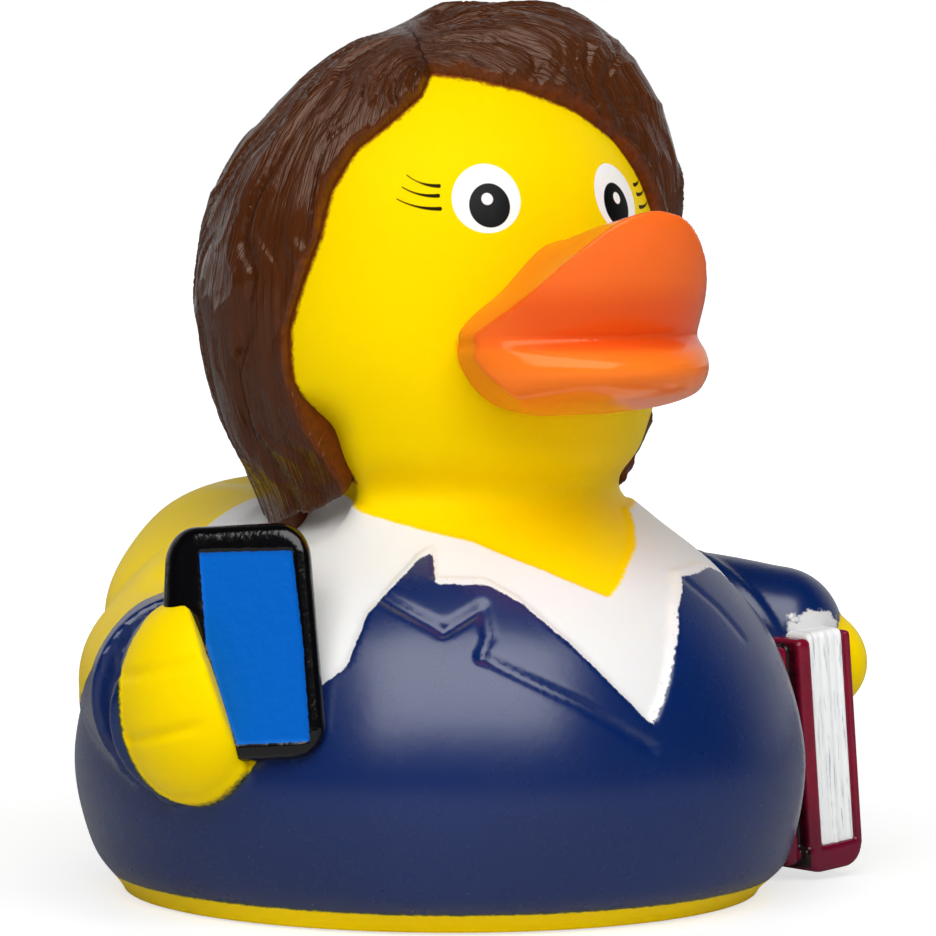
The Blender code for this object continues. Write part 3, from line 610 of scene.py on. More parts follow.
def make_skin():
    forms = [
        plain_form(), tail_form(),
        limb("sleeve_right", RIGHT_ARM, RIGHT_ARM_RADII), cuff_form(),
        limb("sleeve_left", LEFT_ARM, LEFT_ARM_RADII),
        ball("sleeve_left_end", LEFT_ARM[-1], (LEFT_ARM_RADII[-1],) * 3),
        fist_form(), ball("hand_left", LEFT_HAND, LEFT_HAND_RADII),
    ]
    skin = join_forms("duck_skin", forms)
    cast(skin, SKIN_GRAIN, 5)
    points = read_points(skin)
    points = press_jacket(points, read_normals(skin))
    write_points(skin, points)
    points = crease_hand(points, read_normals(skin))
    points[:, 2] = np.maximum(points[:, 2], 0.0)
    write_points(skin, points)
    reduce_facets(skin, SKIN_FACETS)
    paint_fields(skin, read_points(skin))
    skin.data.shade_smooth()
    return skin


# Hair

def hair_form():
    """The hair's shell: proud of the head round the face, and under its skin within it."""
    profile = smooth_curve(HAIR_STATIONS, 20)
    azimuth = np.linspace(-180, 180, 540, endpoint=False)
    a, z = np.meshgrid(azimuth, profile[:, 0])
    radius = np.repeat(profile[:, 1:2], len(azimuth), axis=1)
    full = np.hypot(radius, z - HEAD_CENTRE[2])
    polar = np.arctan2(radius, z - HEAD_CENTRE[2])
    skin = head_reach(polar)
    depth = hair_depth(a, polar)
    cover = smooth_step(depth / HAIR_EDGE + 0.5)
    ramp = smooth_step(depth / HAIR_RAMP)
    edge = np.minimum(skin + HAIR_EDGE_DEPTH, full)
    inner = np.minimum(skin - 1.4 * HAIR_EDGE_DEPTH, 0.8 * full)
    reach = (edge + (full - edge) * ramp) * cover + inner * (1 - cover)
    reach = np.where(np.cos(polar) > 0.9999, full, reach)
    turn = np.radians(a)
    ray = np.stack([np.sin(polar) * np.sin(turn), -np.sin(polar) * np.cos(turn), np.cos(polar)], axis=2)
    points = HEAD_CENTRE + ray * reach[:, :, None]
    for volume, centre, spread in ((SWEEP_VOLUME, SWEEP_CENTRE, SWEEP_SPREAD),
                                   (-CROWN_DIP, CROWN_DIP_CENTRE, CROWN_DIP_SPREAD)):
        away = np.linalg.norm(points - centre, axis=2) / spread
        points += ray * (volume * ramp * np.exp(-away ** 2))[:, :, None]
    return loft("hair", points)


def lock_relief(points, strand):
    """Height of the carved locks and strands over the plain hair, in metres."""
    rng = np.random.default_rng(7)
    warp = 0.23 * drift(points, 0.013, 1) + 0.085 * drift(points, 0.0048, 2)
    turn = (strand + warp + 3 * math.pi) % (2 * math.pi)
    gaps = rng.uniform(0.5, 1.6, LOCK_COUNT)
    edges = np.concatenate([[0], np.cumsum(gaps)]) / gaps.sum() * 2 * math.pi
    lock = np.clip(np.searchsorted(edges, turn, side="right") - 1, 0, LOCK_COUNT - 1)
    share = (turn - edges[lock]) / (edges[lock + 1] - edges[lock])
    level = rng.uniform(-LOCK_STEP, LOCK_STEP, LOCK_COUNT)[lock]
    lean = rng.uniform(0.25, 0.75, LOCK_COUNT)[lock]
    crown = np.where(share < lean, share / lean, (1 - share) / (1 - lean))
    relief = LOCK_HEIGHT * np.sqrt(np.clip(crown, 0, 1)) + level * smooth_step(crown / 0.25)
    fine = drift(points, 0.006, 3)
    for count, tall in STRANDS:
        wave = np.abs(np.sin(0.5 * count * (strand + warp * 1.6 + 0.03 * fine)))
        relief += tall * (1 - wave) * (0.7 + 0.6 * fine)
    return relief * MM


def make_hair():
    hair = hair_form()
    cast(hair, HAIR_GRAIN, 3)
    points = read_points(hair)
    ray, polar = from_head_centre(points)
    strand, fall = strand_field(points)
    depth = hair_depth(azimuth_of(points), polar)
    calm = smooth_step((depth + 0.0001) / 0.0008) * smooth_step(fall / 0.5)
    relief = lock_relief(points, strand) - 0.0003
    points += ray * (relief * calm)[:, None]
    write_points(hair, points)
    reduce_facets(hair, HAIR_FACETS)
    points = read_points(hair)
    polar = from_head_centre(points)[1]
    strand, fall = strand_field(points)
    for name, values in (("hairline", hair_depth(azimuth_of(points), polar) / MM), ("strand_along", fall),
                         ("strand_across", np.cos(strand)), ("strand_over", np.sin(strand))):
        write_field(hair, name, values)
    hair.data.shade_smooth()
    return hair


# Bill

def make_bill():
    """Level sections with a broad curved front, straight back to the head on both sides."""
    rings = []
    turn = np.linspace(-1, 1, 64)
    for z, half, reach in smooth_curve(BILL_LEVELS, 8):
        x = half * np.sin(0.5 * math.pi * turn)
        arc = np.sqrt(np.clip(1 - (x / BILL_ARC_HALF_WIDTH) ** 2, 0.0, 1))
        y = BILL_ARC_ROOT + (reach - BILL_ARC_ROOT) * arc
        front = [(px, -py) for px, py in zip(x, y)]
        ends = [(x[-1] * share, -(y[-1] + (BILL_ROOT - y[-1]) * back)) for share, back in BILL_ENDS]
        others = [(-px, py) for px, py in reversed(ends)]
        dip = BILL_TOP_DIP * fade(z, BILL_MOUTH, 0.009)
        run = max(reach - BILL_DIP_START, 1e-4)
        rings.append([(px, py, z - dip * (1 - fade(-py, BILL_DIP_START, run)))
                      for px, py in front + ends + others])
    bill = loft("bill", rings)
    cast(bill, BILL_GRAIN, 2)
    bill.data.shade_smooth()
    return bill


# Phone and book, each modelled flat and then put in its place

def put(item, place):
    item.data.transform(place)
    item.data.update()
    return item


def slab(name, size, centre=(0, 0, 0)):
    bpy.ops.object.select_all(action="DESELECT")
    bpy.ops.mesh.primitive_cube_add(size=1.0, location=centre, scale=size)
    bpy.ops.object.transform_apply(location=True, rotation=True, scale=True)
    item = bpy.context.object
    item.name = name
    return item


def round_edges(item, chosen, width, segments):
    """Rounds the edges that the test chooses by their direction and middle."""
    bpy.ops.object.mode_set(mode="EDIT")
    form = bmesh.from_edit_mesh(item.data)
    for edge in form.edges:
        edge.select = bool(chosen(edge))
    bmesh.update_edit_mesh(item.data)
    bpy.ops.mesh.bevel(offset=width, segments=segments, profile=0.5, affect="EDGES")
    bpy.ops.object.mode_set(mode="OBJECT")


def along_y(edge):
    run = edge.verts[0].co - edge.verts[1].co
    return abs(run.y) > 0.9 * run.length


def soften_rim(item, width, segments):
    rim = item.modifiers.new("rim", "BEVEL")
    rim.width = width
    rim.segments = segments
    rim.limit_method = "ANGLE"
    rim.angle_limit = math.radians(40)
    apply_modifiers(item)


def make_phone():
    phone = slab("phone", (PHONE_WIDTH, PHONE_THICKNESS, PHONE_HEIGHT))
    round_edges(phone, along_y, PHONE_CORNER, 8)
    soften_rim(phone, PHONE_RIM, 6)
    cast(phone, PHONE_GRAIN, 2)
    points = read_points(phone)
    write_field(phone, "out", -points[:, 1] / MM)
    screen = outline_distance(points[:, 0], points[:, 2], [(a * MM, b * MM) for a, b in SCREEN])
    write_field(phone, "screen", screen / MM)
    points[:, 0] *= 1 - PHONE_TAPER * points[:, 2] / PHONE_HEIGHT
    points[:, 1] += np.where(points[:, 1] < 0, SCREEN_DEPTH * smooth_step(screen / 0.0005 + 0.5), 0)
    points[:, 0] -= PHONE_SIDE_TURN * (points[:, 1] + 0.5 * PHONE_THICKNESS)
    # The back reaches down into the arm, more at the foot than at the top
    back = points[:, 1] > 0
    root = PHONE_ROOT * (0.5 - points[back, 2] / PHONE_HEIGHT)
    points[back, 1] += root
    points[back, 0] -= PHONE_SIDE_TURN * root
    write_points(phone, points)
    put(phone, Matrix.Translation(PHONE_CENTRE) @ PHONE_TURN.to_matrix().to_4x4())
    phone.data.shade_smooth()
    return phone


def make_book():
    """Rounded covers round a page block, with two ridges where the cover bends by the body."""
    place = (Matrix.Translation(BOOK_CENTRE) @ Matrix.Rotation(BOOK_TURN, 4, "Z")
             @ Matrix.Rotation(BOOK_LEAN, 4, "Y"))
    half, front, bottom = 0.5 * BOOK_THICKNESS, -0.5 * BOOK_WIDTH, -0.5 * BOOK_HEIGHT
    inner_height = BOOK_HEIGHT - 0.0022
    outer = slab("cover_outer", (BOOK_COVER, BOOK_WIDTH, inner_height),
                 (half - 0.5 * BOOK_COVER, 0, 0.0006))
    foot = slab("cover_foot", (BOOK_THICKNESS - 0.0002, BOOK_WIDTH, BOOK_FOOT),
                (0, 0, bottom + 0.5 * BOOK_FOOT))
    round_edges(foot, lambda edge: along_y(edge) and edge.verts[0].co.z < bottom + 0.0005,
                BOOK_FOOT_CORNER, 6)
    covers = [outer, foot]
    for left, back, tall in ((0.0008, 0.005, BOOK_HEIGHT - 0.0012), (0.0034, 0.0056, inner_height)):
        covers.append(slab("ridge", (RIDGE_WIDTH, RIDGE_DEPTH, tall), (PAGE_LEFT - left, front + back, 0)))
    covers.append(slab("board", (0.0042, 0.009, BOOK_HEIGHT - 0.0024),
                       (PAGE_LEFT - 0.0022, front + 0.006, 0)))
    for item in covers:
        soften_rim(item, 0.45 * min(BOOK_RIM, min(item.dimensions)), 4)
    book = join_forms("book_covers", covers)
    cast(book, BOOK_GRAIN, 3)
    points = read_points(book)
    write_field(book, "up", points[:, 2] / MM)
    write_field(book, "groove", np.abs(PAGE_LEFT - 0.0021 - points[:, 0]) / MM)

    width = half - BOOK_COVER + 0.0004 - PAGE_LEFT
    pages = slab("book_pages", (width, BOOK_WIDTH - 0.0009, inner_height),
                 (PAGE_LEFT + 0.5 * width, 0, 0.0009))
    soften_rim(pages, 0.0007, 4)
    cast(pages, PAGE_GRAIN, 1)
    points = read_points(pages)
    write_field(pages, "across", points[:, 0] / MM)
    write_field(pages, "up", points[:, 2] / MM)
    sheets = sum(deep * np.sin(points[:, 0] / wide + shift) for deep, wide, shift in SHEET_WAVES)
    points[:, 1] += np.where(points[:, 1] < 0, sheets, 0)
    write_points(pages, points)
    for item in (book, pages):
        put(item, place)
        item.data.shade_smooth()
    return book, pages


# Paint: each material is built from left to right on a small bench of nodes

class Wiring:
    """A tree of nodes, with a short name for each kind that is laid in it."""

    def __init__(self, tree):
        self.tree = tree

    def add(self, kind, **settings):
        node = self.tree.nodes.new(kind)
        for key, value in settings.items():
            setattr(node, key, value)
        return node

    def feed(self, node, inputs):
        for key, value in inputs.items():
            if isinstance(value, bpy.types.NodeSocket):
                self.tree.links.new(value, node.inputs[key])
            elif value is not None:
                node.inputs[key].default_value = value

    def math(self, operation, a, b=None, c=None):
        node = self.add("ShaderNodeMath", operation=operation)
        self.feed(node, {0: a, 1: b, 2: c})
        return node.outputs[0]

    def plus(self, a, b):
        return self.math("ADD", a, b)

    def less(self, a, b):
        return self.math("SUBTRACT", a, b)

    def times(self, a, b):
        return self.math("MULTIPLY", a, b)

    def scaled(self, value, by, shift):
        return self.math("MULTIPLY_ADD", value, by, shift)

    def apart(self, a, b):
        """Length of the slanted side over two square ones."""
        return self.math("SQRT", self.plus(self.times(a, a), self.times(b, b)))

    def ramp(self, value, start, end, at_start=0.0, at_end=1.0, line="SMOOTHSTEP"):
        node = self.add("ShaderNodeMapRange", interpolation_type=line)
        self.feed(node, {"Value": value, "From Min": start, "From Max": end,
                         "To Min": at_start, "To Max": at_end})
        return node.outputs[0]

    def over(self, mask, under, top):
        """Lays one colour over another where the mask is 1."""
        node = self.add("ShaderNodeMix", data_type="RGBA")
        self.feed(node, {0: mask, 6: under, 7: top})
        return node.outputs[2]

    def blend(self, mask, under, top):
        """The same for a plain number."""
        node = self.add("ShaderNodeMix", data_type="FLOAT")
        self.feed(node, {0: mask, 2: under, 3: top})
        return node.outputs[0]


class Bench(Wiring):
    """One material and the nodes on it."""

    def __init__(self, name, roughness, **finish):
        self.material = bpy.data.materials.new(name)
        self.material.use_nodes = True
        super().__init__(self.material.node_tree)
        self.shader = self.tree.nodes["Principled BSDF"]
        self.shader.inputs["Roughness"].default_value = roughness
        for socket, value in finish.items():
            self.shader.inputs[socket.replace("_", " ")].default_value = value
        self.place = self.tree.nodes.new("ShaderNodeTexCoord").outputs["Object"]
        self.colour = None

    def field(self, name):
        return self.add("ShaderNodeAttribute", attribute_name=name).outputs["Fac"]

    def axes(self):
        node = self.add("ShaderNodeSeparateXYZ")
        self.feed(node, {0: self.place})
        return node.outputs

    def cloud(self, size, detail=3.0, rough=0.6, at=None):
        """Noise from 0 to 1 whose waves are about this size in metres."""
        node = self.add("ShaderNodeTexNoise")
        self.feed(node, {"Vector": at or self.place, "Scale": 1.0 / size,
                         "Detail": detail, "Roughness": rough})
        return node.outputs["Fac"]

    def edge(self, value, soft, fray=0.0, size=0.0008):
        """Turns a distance in millimetres into a painted area with a frayed edge."""
        if fray:
            value = self.plus(value, self.scaled(self.cloud(size), 2 * fray, -fray))
        return self.ramp(value, -soft, soft)

    def grain(self, height, depth, below=None):
        node = self.add("ShaderNodeBump")
        self.feed(node, {"Height": height, "Distance": depth, "Strength": 1.0, "Normal": below})
        return node.outputs[0]

    def coat(self, mask, colour, share=None):
        """Lays a colour over what is painted so far, thinner where a share is given."""
        self.colour = self.over(self.times(mask, share) if share else mask, self.colour, colour)

    def finish(self, roughness=None, normal=None):
        self.feed(self.shader, {"Base Color": self.colour, "Roughness": roughness, "Normal": normal})
        return self.material


YELLOW = tint(252, 215, 0)
YELLOW_SOFT = tint(248, 210, 0)
WHITE = tint(232, 232, 231)
NAVY = tint(1, 30, 84)
NAVY_BRIGHT = tint(3, 37, 98)
NAVY_GREEN = tint(26, 50, 34)
EYE_WHITE = tint(246, 243, 240)
INK = tint(5, 4, 5)
ORANGE = tint(248, 104, 30)
ORANGE_SOFT = tint(250, 112, 38)
ORANGE_FLARE = tint(250, 150, 12)
ORANGE_LIP_LIT = tint(254, 132, 34)
MOUTH_SHADE = tint(228, 72, 14)
MOUTH_CREASE_SHADE = tint(222, 66, 14)
BROWN = tint(74, 36, 14)
BROWN_THIN = tint(118, 54, 14)
STRAND_GROOVE_SHADE = tint(55, 25, 9)
STRAND_RIDGE_LIT = tint(88, 45, 19)
BLACK = tint(6, 5, 7)
BLUE = tint(0, 92, 190)
RED = tint(140, 14, 44)
RED_DARK = tint(106, 10, 40)
COVER_FOOT_DARK = tint(52, 10, 40)
COVER_GROOVE_SHADE = tint(30, 10, 14)
PAGE = tint(247, 249, 249)
PAGE_LINE = tint(120, 134, 150)
PLUG_LIGHT = tint(228, 228, 222)
PLUG_DARK = tint(214, 214, 208)
FLOOR = tint(176, 176, 176)
FLOOR_BOUNCE = tint(236, 236, 236)

# Tints of the gloss
CLEAR = (1, 1, 1, 1)
YELLOW_GLOSS = (1.0, 0.82, 0.06, 1)
HAIR_GLOSS = (1.0, 0.86, 0.74, 1)
BILL_GLOSS = (1.0, 0.8, 0.5, 1)
SCREEN_GLOSS = (0.15, 0.55, 1, 1)

# Eyes: azimuth in degrees and height of the middle, then half sizes, in millimetres
EYE = (21.6, 66.75, 3.3, 3.2)
PUPIL = (20.9, 66.1, 1.95, 2.05)
GLINT = (21.5, 66.7, 0.55, 0.55)
LASHES = (
    ((34.3, 67.9), (43.1, 68.9)),
    ((34.5, 67.0), (44.2, 67.8)),
    ((34.0, 65.8), (45.4, 66.7)),
)
LASH_HALF_WIDTH = 0.2
LASH_TAPER = 0.75
LASH_SAG = 1.1
PRINT_EDGE = 0.05


def oval(bench, side, up, azimuth, height, half_across, half_up):
    """Distance inside an oval on the face, in millimetres, positive within it."""
    across = math.radians(azimuth) * EYE_RADIUS / MM
    a = bench.math("DIVIDE", bench.less(side, across), half_across)
    b = bench.math("DIVIDE", bench.less(up, height), half_up)
    return bench.times(bench.less(1.0, bench.apart(a, b)), 0.5 * (half_across + half_up))


def lash(bench, side, up, start, end):
    """Distance inside a tapering stroke of the lashes, in millimetres."""
    ax, ay = math.radians(start[0]) * EYE_RADIUS / MM, start[1]
    bx, by = math.radians(end[0]) * EYE_RADIUS / MM, end[1]
    length = math.hypot(bx - ax, by - ay)
    dx, dy = (bx - ax) / length, (by - ay) / length
    px = bench.less(side, ax)
    py = bench.less(up, ay)
    run = bench.plus(bench.times(px, dx), bench.times(py, dy))
    run = bench.math("MINIMUM", bench.math("MAXIMUM", run, 0.0), length)
    share = bench.math("DIVIDE", run, length)
    sag = bench.times(bench.times(share, bench.less(1.0, share)), LASH_SAG)
    ox = bench.less(px, bench.times(run, dx))
    oy = bench.plus(bench.less(py, bench.times(run, dy)), sag)
    width = bench.scaled(share, -LASH_TAPER * LASH_HALF_WIDTH, LASH_HALF_WIDTH)
    return bench.less(width, bench.apart(ox, oy))


def painted_vinyl():
    """Yellow vinyl with the sprayed shirt, jacket, bill edge and printed eyes."""
    bench = Bench("painted_vinyl", 0.4, Specular_IOR_Level=0.5)
    x, y, z = bench.axes()
    up = bench.times(z, 1 / MM)
    bench.colour = bench.over(bench.cloud(0.012, 2.0, 0.5), YELLOW, YELLOW_SOFT)
    # Hair paint that ran past the hair's edge
    hair = bench.edge(bench.plus(bench.field("hairline"), 0.25), 0.28, 0.35, 0.0006)
    bench.coat(hair, BROWN_THIN)
    bench.coat(bench.edge(bench.less(bench.field("hairline"), 0.9), 0.3), BROWN)
    # Orange flare round the bill
    bill_edge = bench.field("bill_edge")
    bench.coat(bench.edge(bill_edge, 0.35, 0.15, 0.001), ORANGE_FLARE, 0.95)
    bench.coat(bench.edge(bench.less(bill_edge, 0.5), 0.6, 0.2, 0.001), ORANGE)
    # Shirt and jacket
    shirt = bench.edge(bench.field("shirt"), 0.12, 0.12)
    bench.coat(shirt, WHITE)
    jacket_at = bench.field("jacket")
    jacket = bench.edge(jacket_at, 0.07, 0.2, 0.0006)
    spatter = bench.math("GREATER_THAN", bench.cloud(0.0004, 1.0, 0.5), 0.72)
    nearly = bench.edge(bench.plus(jacket_at, 0.25), 0.3)
    spatter = bench.times(bench.times(spatter, nearly), shirt)
    jacket = bench.math("MAXIMUM", jacket, bench.times(spatter, 0.8))
    bench.coat(jacket, bench.over(bench.cloud(0.02, 2.0, 0.5), NAVY, NAVY_BRIGHT))
    # Bare yellow: tail, hands and the band round the foot, each with a greenish seam to the navy
    bare = bench.math("MAXIMUM", bench.field("tail"), bench.field("hands"))
    bare = bench.math("MAXIMUM", bare, bench.less(1.8, up))
    below_neck = bench.edge(bench.less(38.0, up), 1.0)
    seam = bench.times(bench.edge(bench.plus(bare, 0.22), 0.16, 0.16, 0.0005), below_neck)
    bench.coat(bench.times(seam, jacket), NAVY_GREEN)
    clear = bench.times(bench.edge(bare, 0.12, 0.16, 0.0005), below_neck)
    bench.coat(clear, YELLOW)
    navy_seen = bench.times(jacket, bench.less(1.0, clear))
    # White spray on the sleeve over the book
    bench.coat(bench.edge(bench.field("spray"), 0.15, 0.9, 0.0011), WHITE, 0.9)
    # Eyes, the same on both sides
    turn = bench.math("ARCTAN2", bench.math("ABSOLUTE", x), bench.times(y, -1.0))
    side = bench.times(turn, EYE_RADIUS / MM)
    eye = bench.edge(oval(bench, side, up, *EYE), PRINT_EDGE)
    bench.coat(eye, EYE_WHITE)
    for shape, paint in ((PUPIL, INK), (GLINT, EYE_WHITE)):
        bench.coat(bench.edge(oval(bench, side, up, *shape), PRINT_EDGE), paint)
    for start, end in LASHES:
        bench.coat(bench.edge(lash(bench, side, up, start, end), PRINT_EDGE), INK)
    printed = bench.math("MAXIMUM", eye, hair)
    coat = bench.times(bench.math("MAXIMUM", navy_seen, shirt), bench.less(1.0, clear))
    gloss = bench.over(bench.math("MAXIMUM", coat, eye), YELLOW_GLOSS, CLEAR)
    bench.feed(bench.shader, {"Specular IOR Level": bench.blend(coat, 0.12, 0.7),
                              "Specular Tint": gloss, "Subsurface Weight": 0.18,
                              "Subsurface Radius": (1.0, 0.45, 0.08), "Subsurface Scale": 0.003})
    # Satin skin: a faint orange peel everywhere, wetter on the navy
    rough = bench.blend(navy_seen, 0.42, 0.27)
    rough = bench.blend(printed, rough, 0.3)
    rough = bench.plus(rough, bench.scaled(bench.cloud(0.004), 0.08, -0.04))
    peel = bench.grain(bench.cloud(0.0008, 2.0, 0.5), 0.000009)
    peel = bench.grain(bench.cloud(0.006, 1.0, 0.5), 0.00003, below=peel)
    return bench.finish(rough, peel)


def hair_lacquer():
    """Brown gloss paint over carved strands, thin and reddish at the hairline."""
    bench = Bench("hair_lacquer", 0.22, Specular_IOR_Level=0.37)
    spread = bench.add("ShaderNodeCombineXYZ")
    bench.feed(spread, {0: bench.field("strand_across"), 1: bench.field("strand_over"),
                        2: bench.times(bench.field("strand_along"), 0.045)})
    at = spread.outputs[0]
    strands = bench.cloud(1 / 26, 3.0, 0.6, at)
    threads = bench.cloud(1 / 60, 3.0, 0.65, at)
    # Painted shade and light: darker brown in the grooves of the strands' bump, lighter brown on its
    # ridges
    bench.colour = bench.over(strands, STRAND_GROOVE_SHADE, STRAND_RIDGE_LIT)
    edge_at = bench.scaled(bench.cloud(0.0009), 1.2, bench.field("hairline"))
    bench.coat(bench.ramp(edge_at, 0.2, 1.3, 0.8, 0.0), BROWN_THIN)
    rough = bench.scaled(threads, 0.2, 0.04)
    bench.feed(bench.shader, {"Specular Tint": HAIR_GLOSS})
    normal = bench.grain(strands, 0.0004)
    normal = bench.grain(threads, 0.00014, below=normal)
    return bench.finish(rough, normal)


def bill_paint():
    bench = Bench("bill_paint", 0.25, Specular_IOR_Level=0.38)
    y, z = bench.axes()[1:]
    up, out = bench.times(z, 1 / MM), bench.times(y, -1 / MM)
    bench.colour = bench.over(bench.cloud(0.01, 2.0, 0.5), ORANGE, ORANGE_SOFT)
    back = bench.edge(bench.less(21.5, out), 2.6, 0.3, 0.0012)
    back = bench.times(back, bench.edge(bench.less(up, 56.0), 2.5))
    bench.coat(back, ORANGE_FLARE, 0.6)
    # Painted light: a lighter orange on the lower bill, where its lip faces up to the lamp
    bench.coat(bench.edge(bench.less(53.2, up), 0.5), ORANGE_LIP_LIT, 0.6)
    # Painted shade: a dark line in the mouth's crease, and a painted shade above it that fades to the
    # corners
    mouth = bench.less(up, BILL_MOUTH / MM)
    line = bench.edge(bench.less(0.35, bench.times(mouth, mouth)), 0.5)
    line = bench.times(line, bench.edge(bench.less(out, 28.5), 2.0))
    shade = bench.edge(bench.less(2.6, bench.math("ABSOLUTE", bench.less(up, 55.6))), 1.6)
    shade = bench.times(shade, bench.edge(bench.less(out, 27.0), 3.0))
    bench.coat(shade, MOUTH_SHADE, 0.55)
    bench.coat(line, MOUTH_CREASE_SHADE, 0.5)
    bench.feed(bench.shader, {"Specular Tint": BILL_GLOSS, "Subsurface Weight": 0.15,
                              "Subsurface Radius": (1.0, 0.35, 0.1), "Subsurface Scale": 0.003})
    rough = bench.scaled(bench.cloud(0.003), 0.1, 0.13)
    return bench.finish(rough, bench.grain(bench.cloud(0.0012, 2.0, 0.5), 0.000012))


def phone_paint():
    bench = Bench("phone_paint", 0.12, Specular_IOR_Level=0.5)
    screen = bench.math("MINIMUM", bench.field("screen"), bench.less(bench.field("out"), 1.2))
    screen = bench.edge(screen, 0.05, 0.14, 0.0007)
    bench.colour = bench.over(screen, BLACK, BLUE)
    rough = bench.blend(screen, 0.16, 0.36)
    bench.feed(bench.shader, {"Specular Tint": bench.over(screen, CLEAR, SCREEN_GLOSS)})
    rough = bench.plus(rough, bench.scaled(bench.cloud(0.002), 0.1, -0.05))
    return bench.finish(rough, bench.grain(bench.cloud(0.0016), 0.00009))


def cover_paint():
    bench = Bench("cover_paint", 0.18, Specular_IOR_Level=0.42)
    bench.colour = bench.over(bench.cloud(0.003), RED, RED_DARK)
    # The cover is painted darker towards its bottom
    bench.coat(bench.edge(bench.less(-6.0, bench.field("up")), 2.5, 1.6, 0.0016), COVER_FOOT_DARK, 0.35)
    # Painted shade in the groove between the two ridges of the cover
    bench.coat(bench.edge(bench.less(0.42, bench.field("groove")), 0.18, 0.12, 0.0007), COVER_GROOVE_SHADE)
    wet = bench.grain(bench.cloud(0.0012), 0.00008)
    return bench.finish(bench.scaled(bench.cloud(0.002, 2.0, 0.5), 0.12, 0.13), wet)


def page_paint():
    bench = Bench("page_paint", 0.45)
    at = bench.add("ShaderNodeCombineXYZ")
    bench.feed(at, {0: bench.field("across"), 1: bench.times(bench.field("up"), 0.05)})
    sheets = bench.cloud(0.3, 3.0, 0.7, at.outputs[0])
    lines = bench.edge(bench.less(sheets, 0.6), 0.06)
    bench.colour = bench.over(bench.times(lines, 0.55), PAGE, PAGE_LINE)
    return bench.finish(None, bench.grain(sheets, 0.00006))


def plug_plastic():
    bench = Bench("plug_plastic", 0.45)
    bench.colour = bench.over(bench.cloud(0.002, 3.0, 0.5), PLUG_LIGHT, PLUG_DARK)
    return bench.finish(None, bench.grain(bench.cloud(0.0004, 2.0, 0.5), 0.00001))


# Floor, light and camera

VIEW_TURN = math.radians(-34.0)
CAMERA_AWAY = 0.5
CAMERA_HEIGHT = 0.072
CAMERA_AIM = Vector((0.00224, -0.00151, 0.0405))
CAMERA_LENS = 199.3
ROOM_LIGHT = 0.012
BACKDROP_LIGHT = 0.6
LAMP_AWAY = 0.9
LAMP_AIM = Vector((0, 0, 0.045))

# Lamps: name, azimuth, elevation, width, height and power; only the first one shines in the gloss
LAMPS = (("key", -34, 46, 1.15, 0.8, 11.0), ("fill_right", 20, 4, 1.00, 0.6, 1.5),
         ("fill_left", -78, 4, 1.00, 0.6, 0.6))


def paper_floor():
    """Pale paper, white to the camera all round the duck's shadow."""
    bpy.ops.object.select_all(action="DESELECT")
    bpy.ops.mesh.primitive_plane_add(size=6.0, location=(0, 0, -0.0002))
    floor = bpy.context.object
    floor.name = "floor"
    bench = Bench("floor_paper", 0.6)
    path = bench.add("ShaderNodeLightPath").outputs
    away = bench.add("ShaderNodeVectorMath", operation="LENGTH")
    bench.feed(away, {0: bench.place})
    far = bench.ramp(away.outputs["Value"], 0.04, 0.3, 0.66, 1.0, "LINEAR")
    bench.feed(bench.shader, {"Emission Color": CLEAR,
                              "Emission Strength": bench.times(path["Is Camera Ray"], far)})
    bench.colour = bench.over(path["Is Diffuse Ray"], FLOOR, FLOOR_BOUNCE)
    floor.data.materials.append(bench.finish())


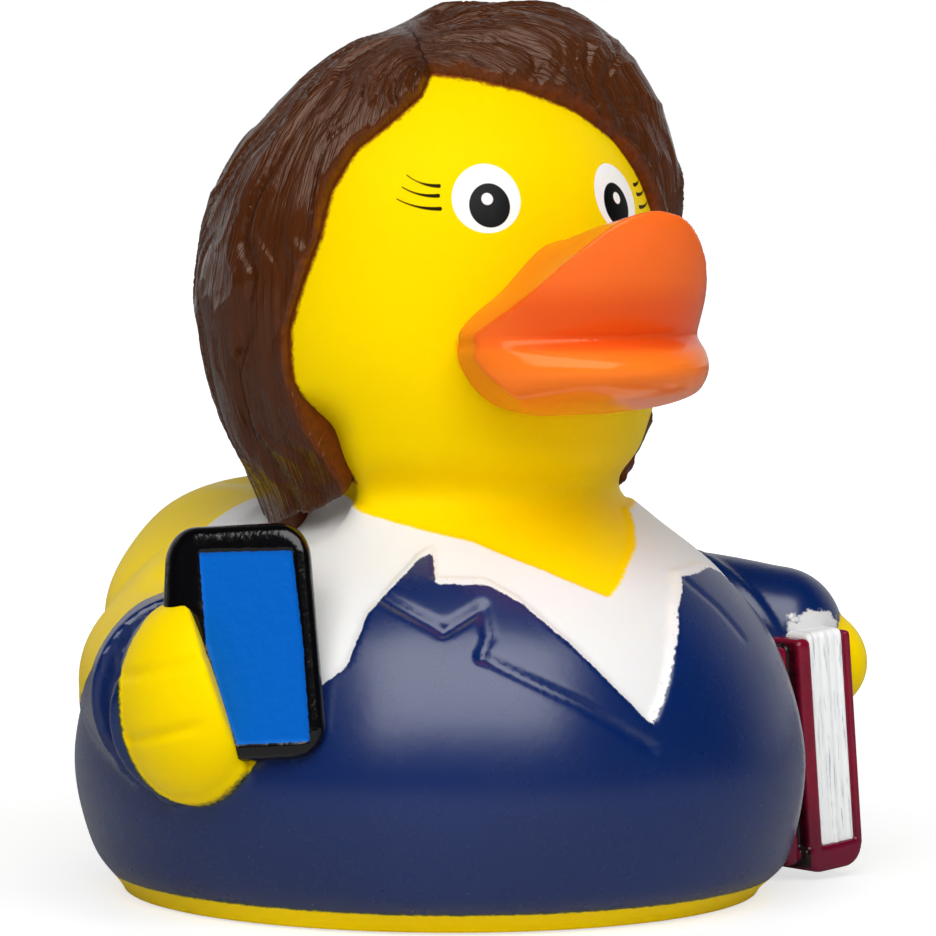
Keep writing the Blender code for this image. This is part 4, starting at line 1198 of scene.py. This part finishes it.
def white_room():
    """The white backdrop stands behind the duck, and the room in front of it is dim."""
    world = bpy.data.worlds.new("studio")
    bpy.context.scene.world = world
    world.use_nodes = True
    room = Wiring(world.node_tree)
    towards = room.add("ShaderNodeTexCoord").outputs["Generated"]
    ahead = room.add("ShaderNodeVectorMath", operation="DOT_PRODUCT")
    room.feed(ahead, {0: towards, 1: (-math.sin(VIEW_TURN), math.cos(VIEW_TURN), 0.0)})
    height = room.add("ShaderNodeSeparateXYZ")
    room.feed(height, {0: towards})
    wall = room.times(room.ramp(ahead.outputs["Value"], 0.1, 0.85, ROOM_LIGHT, BACKDROP_LIGHT),
                      room.ramp(height.outputs["Z"], 0.35, 0.8, 1.0, 0.12))
    path = room.add("ShaderNodeLightPath").outputs
    seen = room.math("MAXIMUM", path["Is Camera Ray"], path["Is Transmission Ray"])
    room.feed(world.node_tree.nodes["Background"],
              {"Color": CLEAR, "Strength": room.blend(seen, wall, 1.0)})


def set_up(data, name, place, aim):
    """Stands a lamp or the camera in its place and turns it to what it looks at."""
    item = bpy.data.objects.new(name, data)
    bpy.context.collection.objects.link(item)
    item.location = place
    item.rotation_euler = (aim - item.location).to_track_quat("-Z", "Y").to_euler()
    return item


def softbox(name, azimuth, elevation, width, height, power):
    """A soft lamp that faces the duck from an azimuth and an elevation."""
    lamp = bpy.data.lights.new(name, "AREA")
    lamp.shape = "RECTANGLE"
    lamp.size = width
    lamp.size_y = height
    lamp.energy = power
    turn, rise = math.radians(azimuth), math.radians(elevation)
    out = Vector((math.cos(rise) * math.sin(turn), -math.cos(rise) * math.cos(turn), math.sin(rise)))
    return set_up(lamp, name, LAMP_AIM + LAMP_AWAY * out, LAMP_AIM)


def camera():
    lens = bpy.data.cameras.new("camera")
    lens.lens = CAMERA_LENS
    lens.sensor_width = 36.0
    lens.clip_start = 0.01
    place = (math.sin(VIEW_TURN) * CAMERA_AWAY, -math.cos(VIEW_TURN) * CAMERA_AWAY, CAMERA_HEIGHT)
    bpy.context.scene.camera = set_up(lens, "camera", place, CAMERA_AIM)


skin, hair, bill, phone = make_skin(), make_hair(), make_bill(), make_phone()
book, pages = make_book()
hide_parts("duck_body")
for piece, paint in ((skin, painted_vinyl), (hair, hair_lacquer), (bill, bill_paint),
                     (phone, phone_paint), (book, cover_paint), (pages, page_paint)):
    piece.data.materials.append(paint())
    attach(piece, "root")
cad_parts["squeaker"].material_slots[0].material = plug_plastic()

paper_floor()
white_room()
for row in LAMPS:
    softbox(*row).visible_glossy = row is LAMPS[0]
camera()
bpy.context.scene.view_settings.view_transform = "Standard"
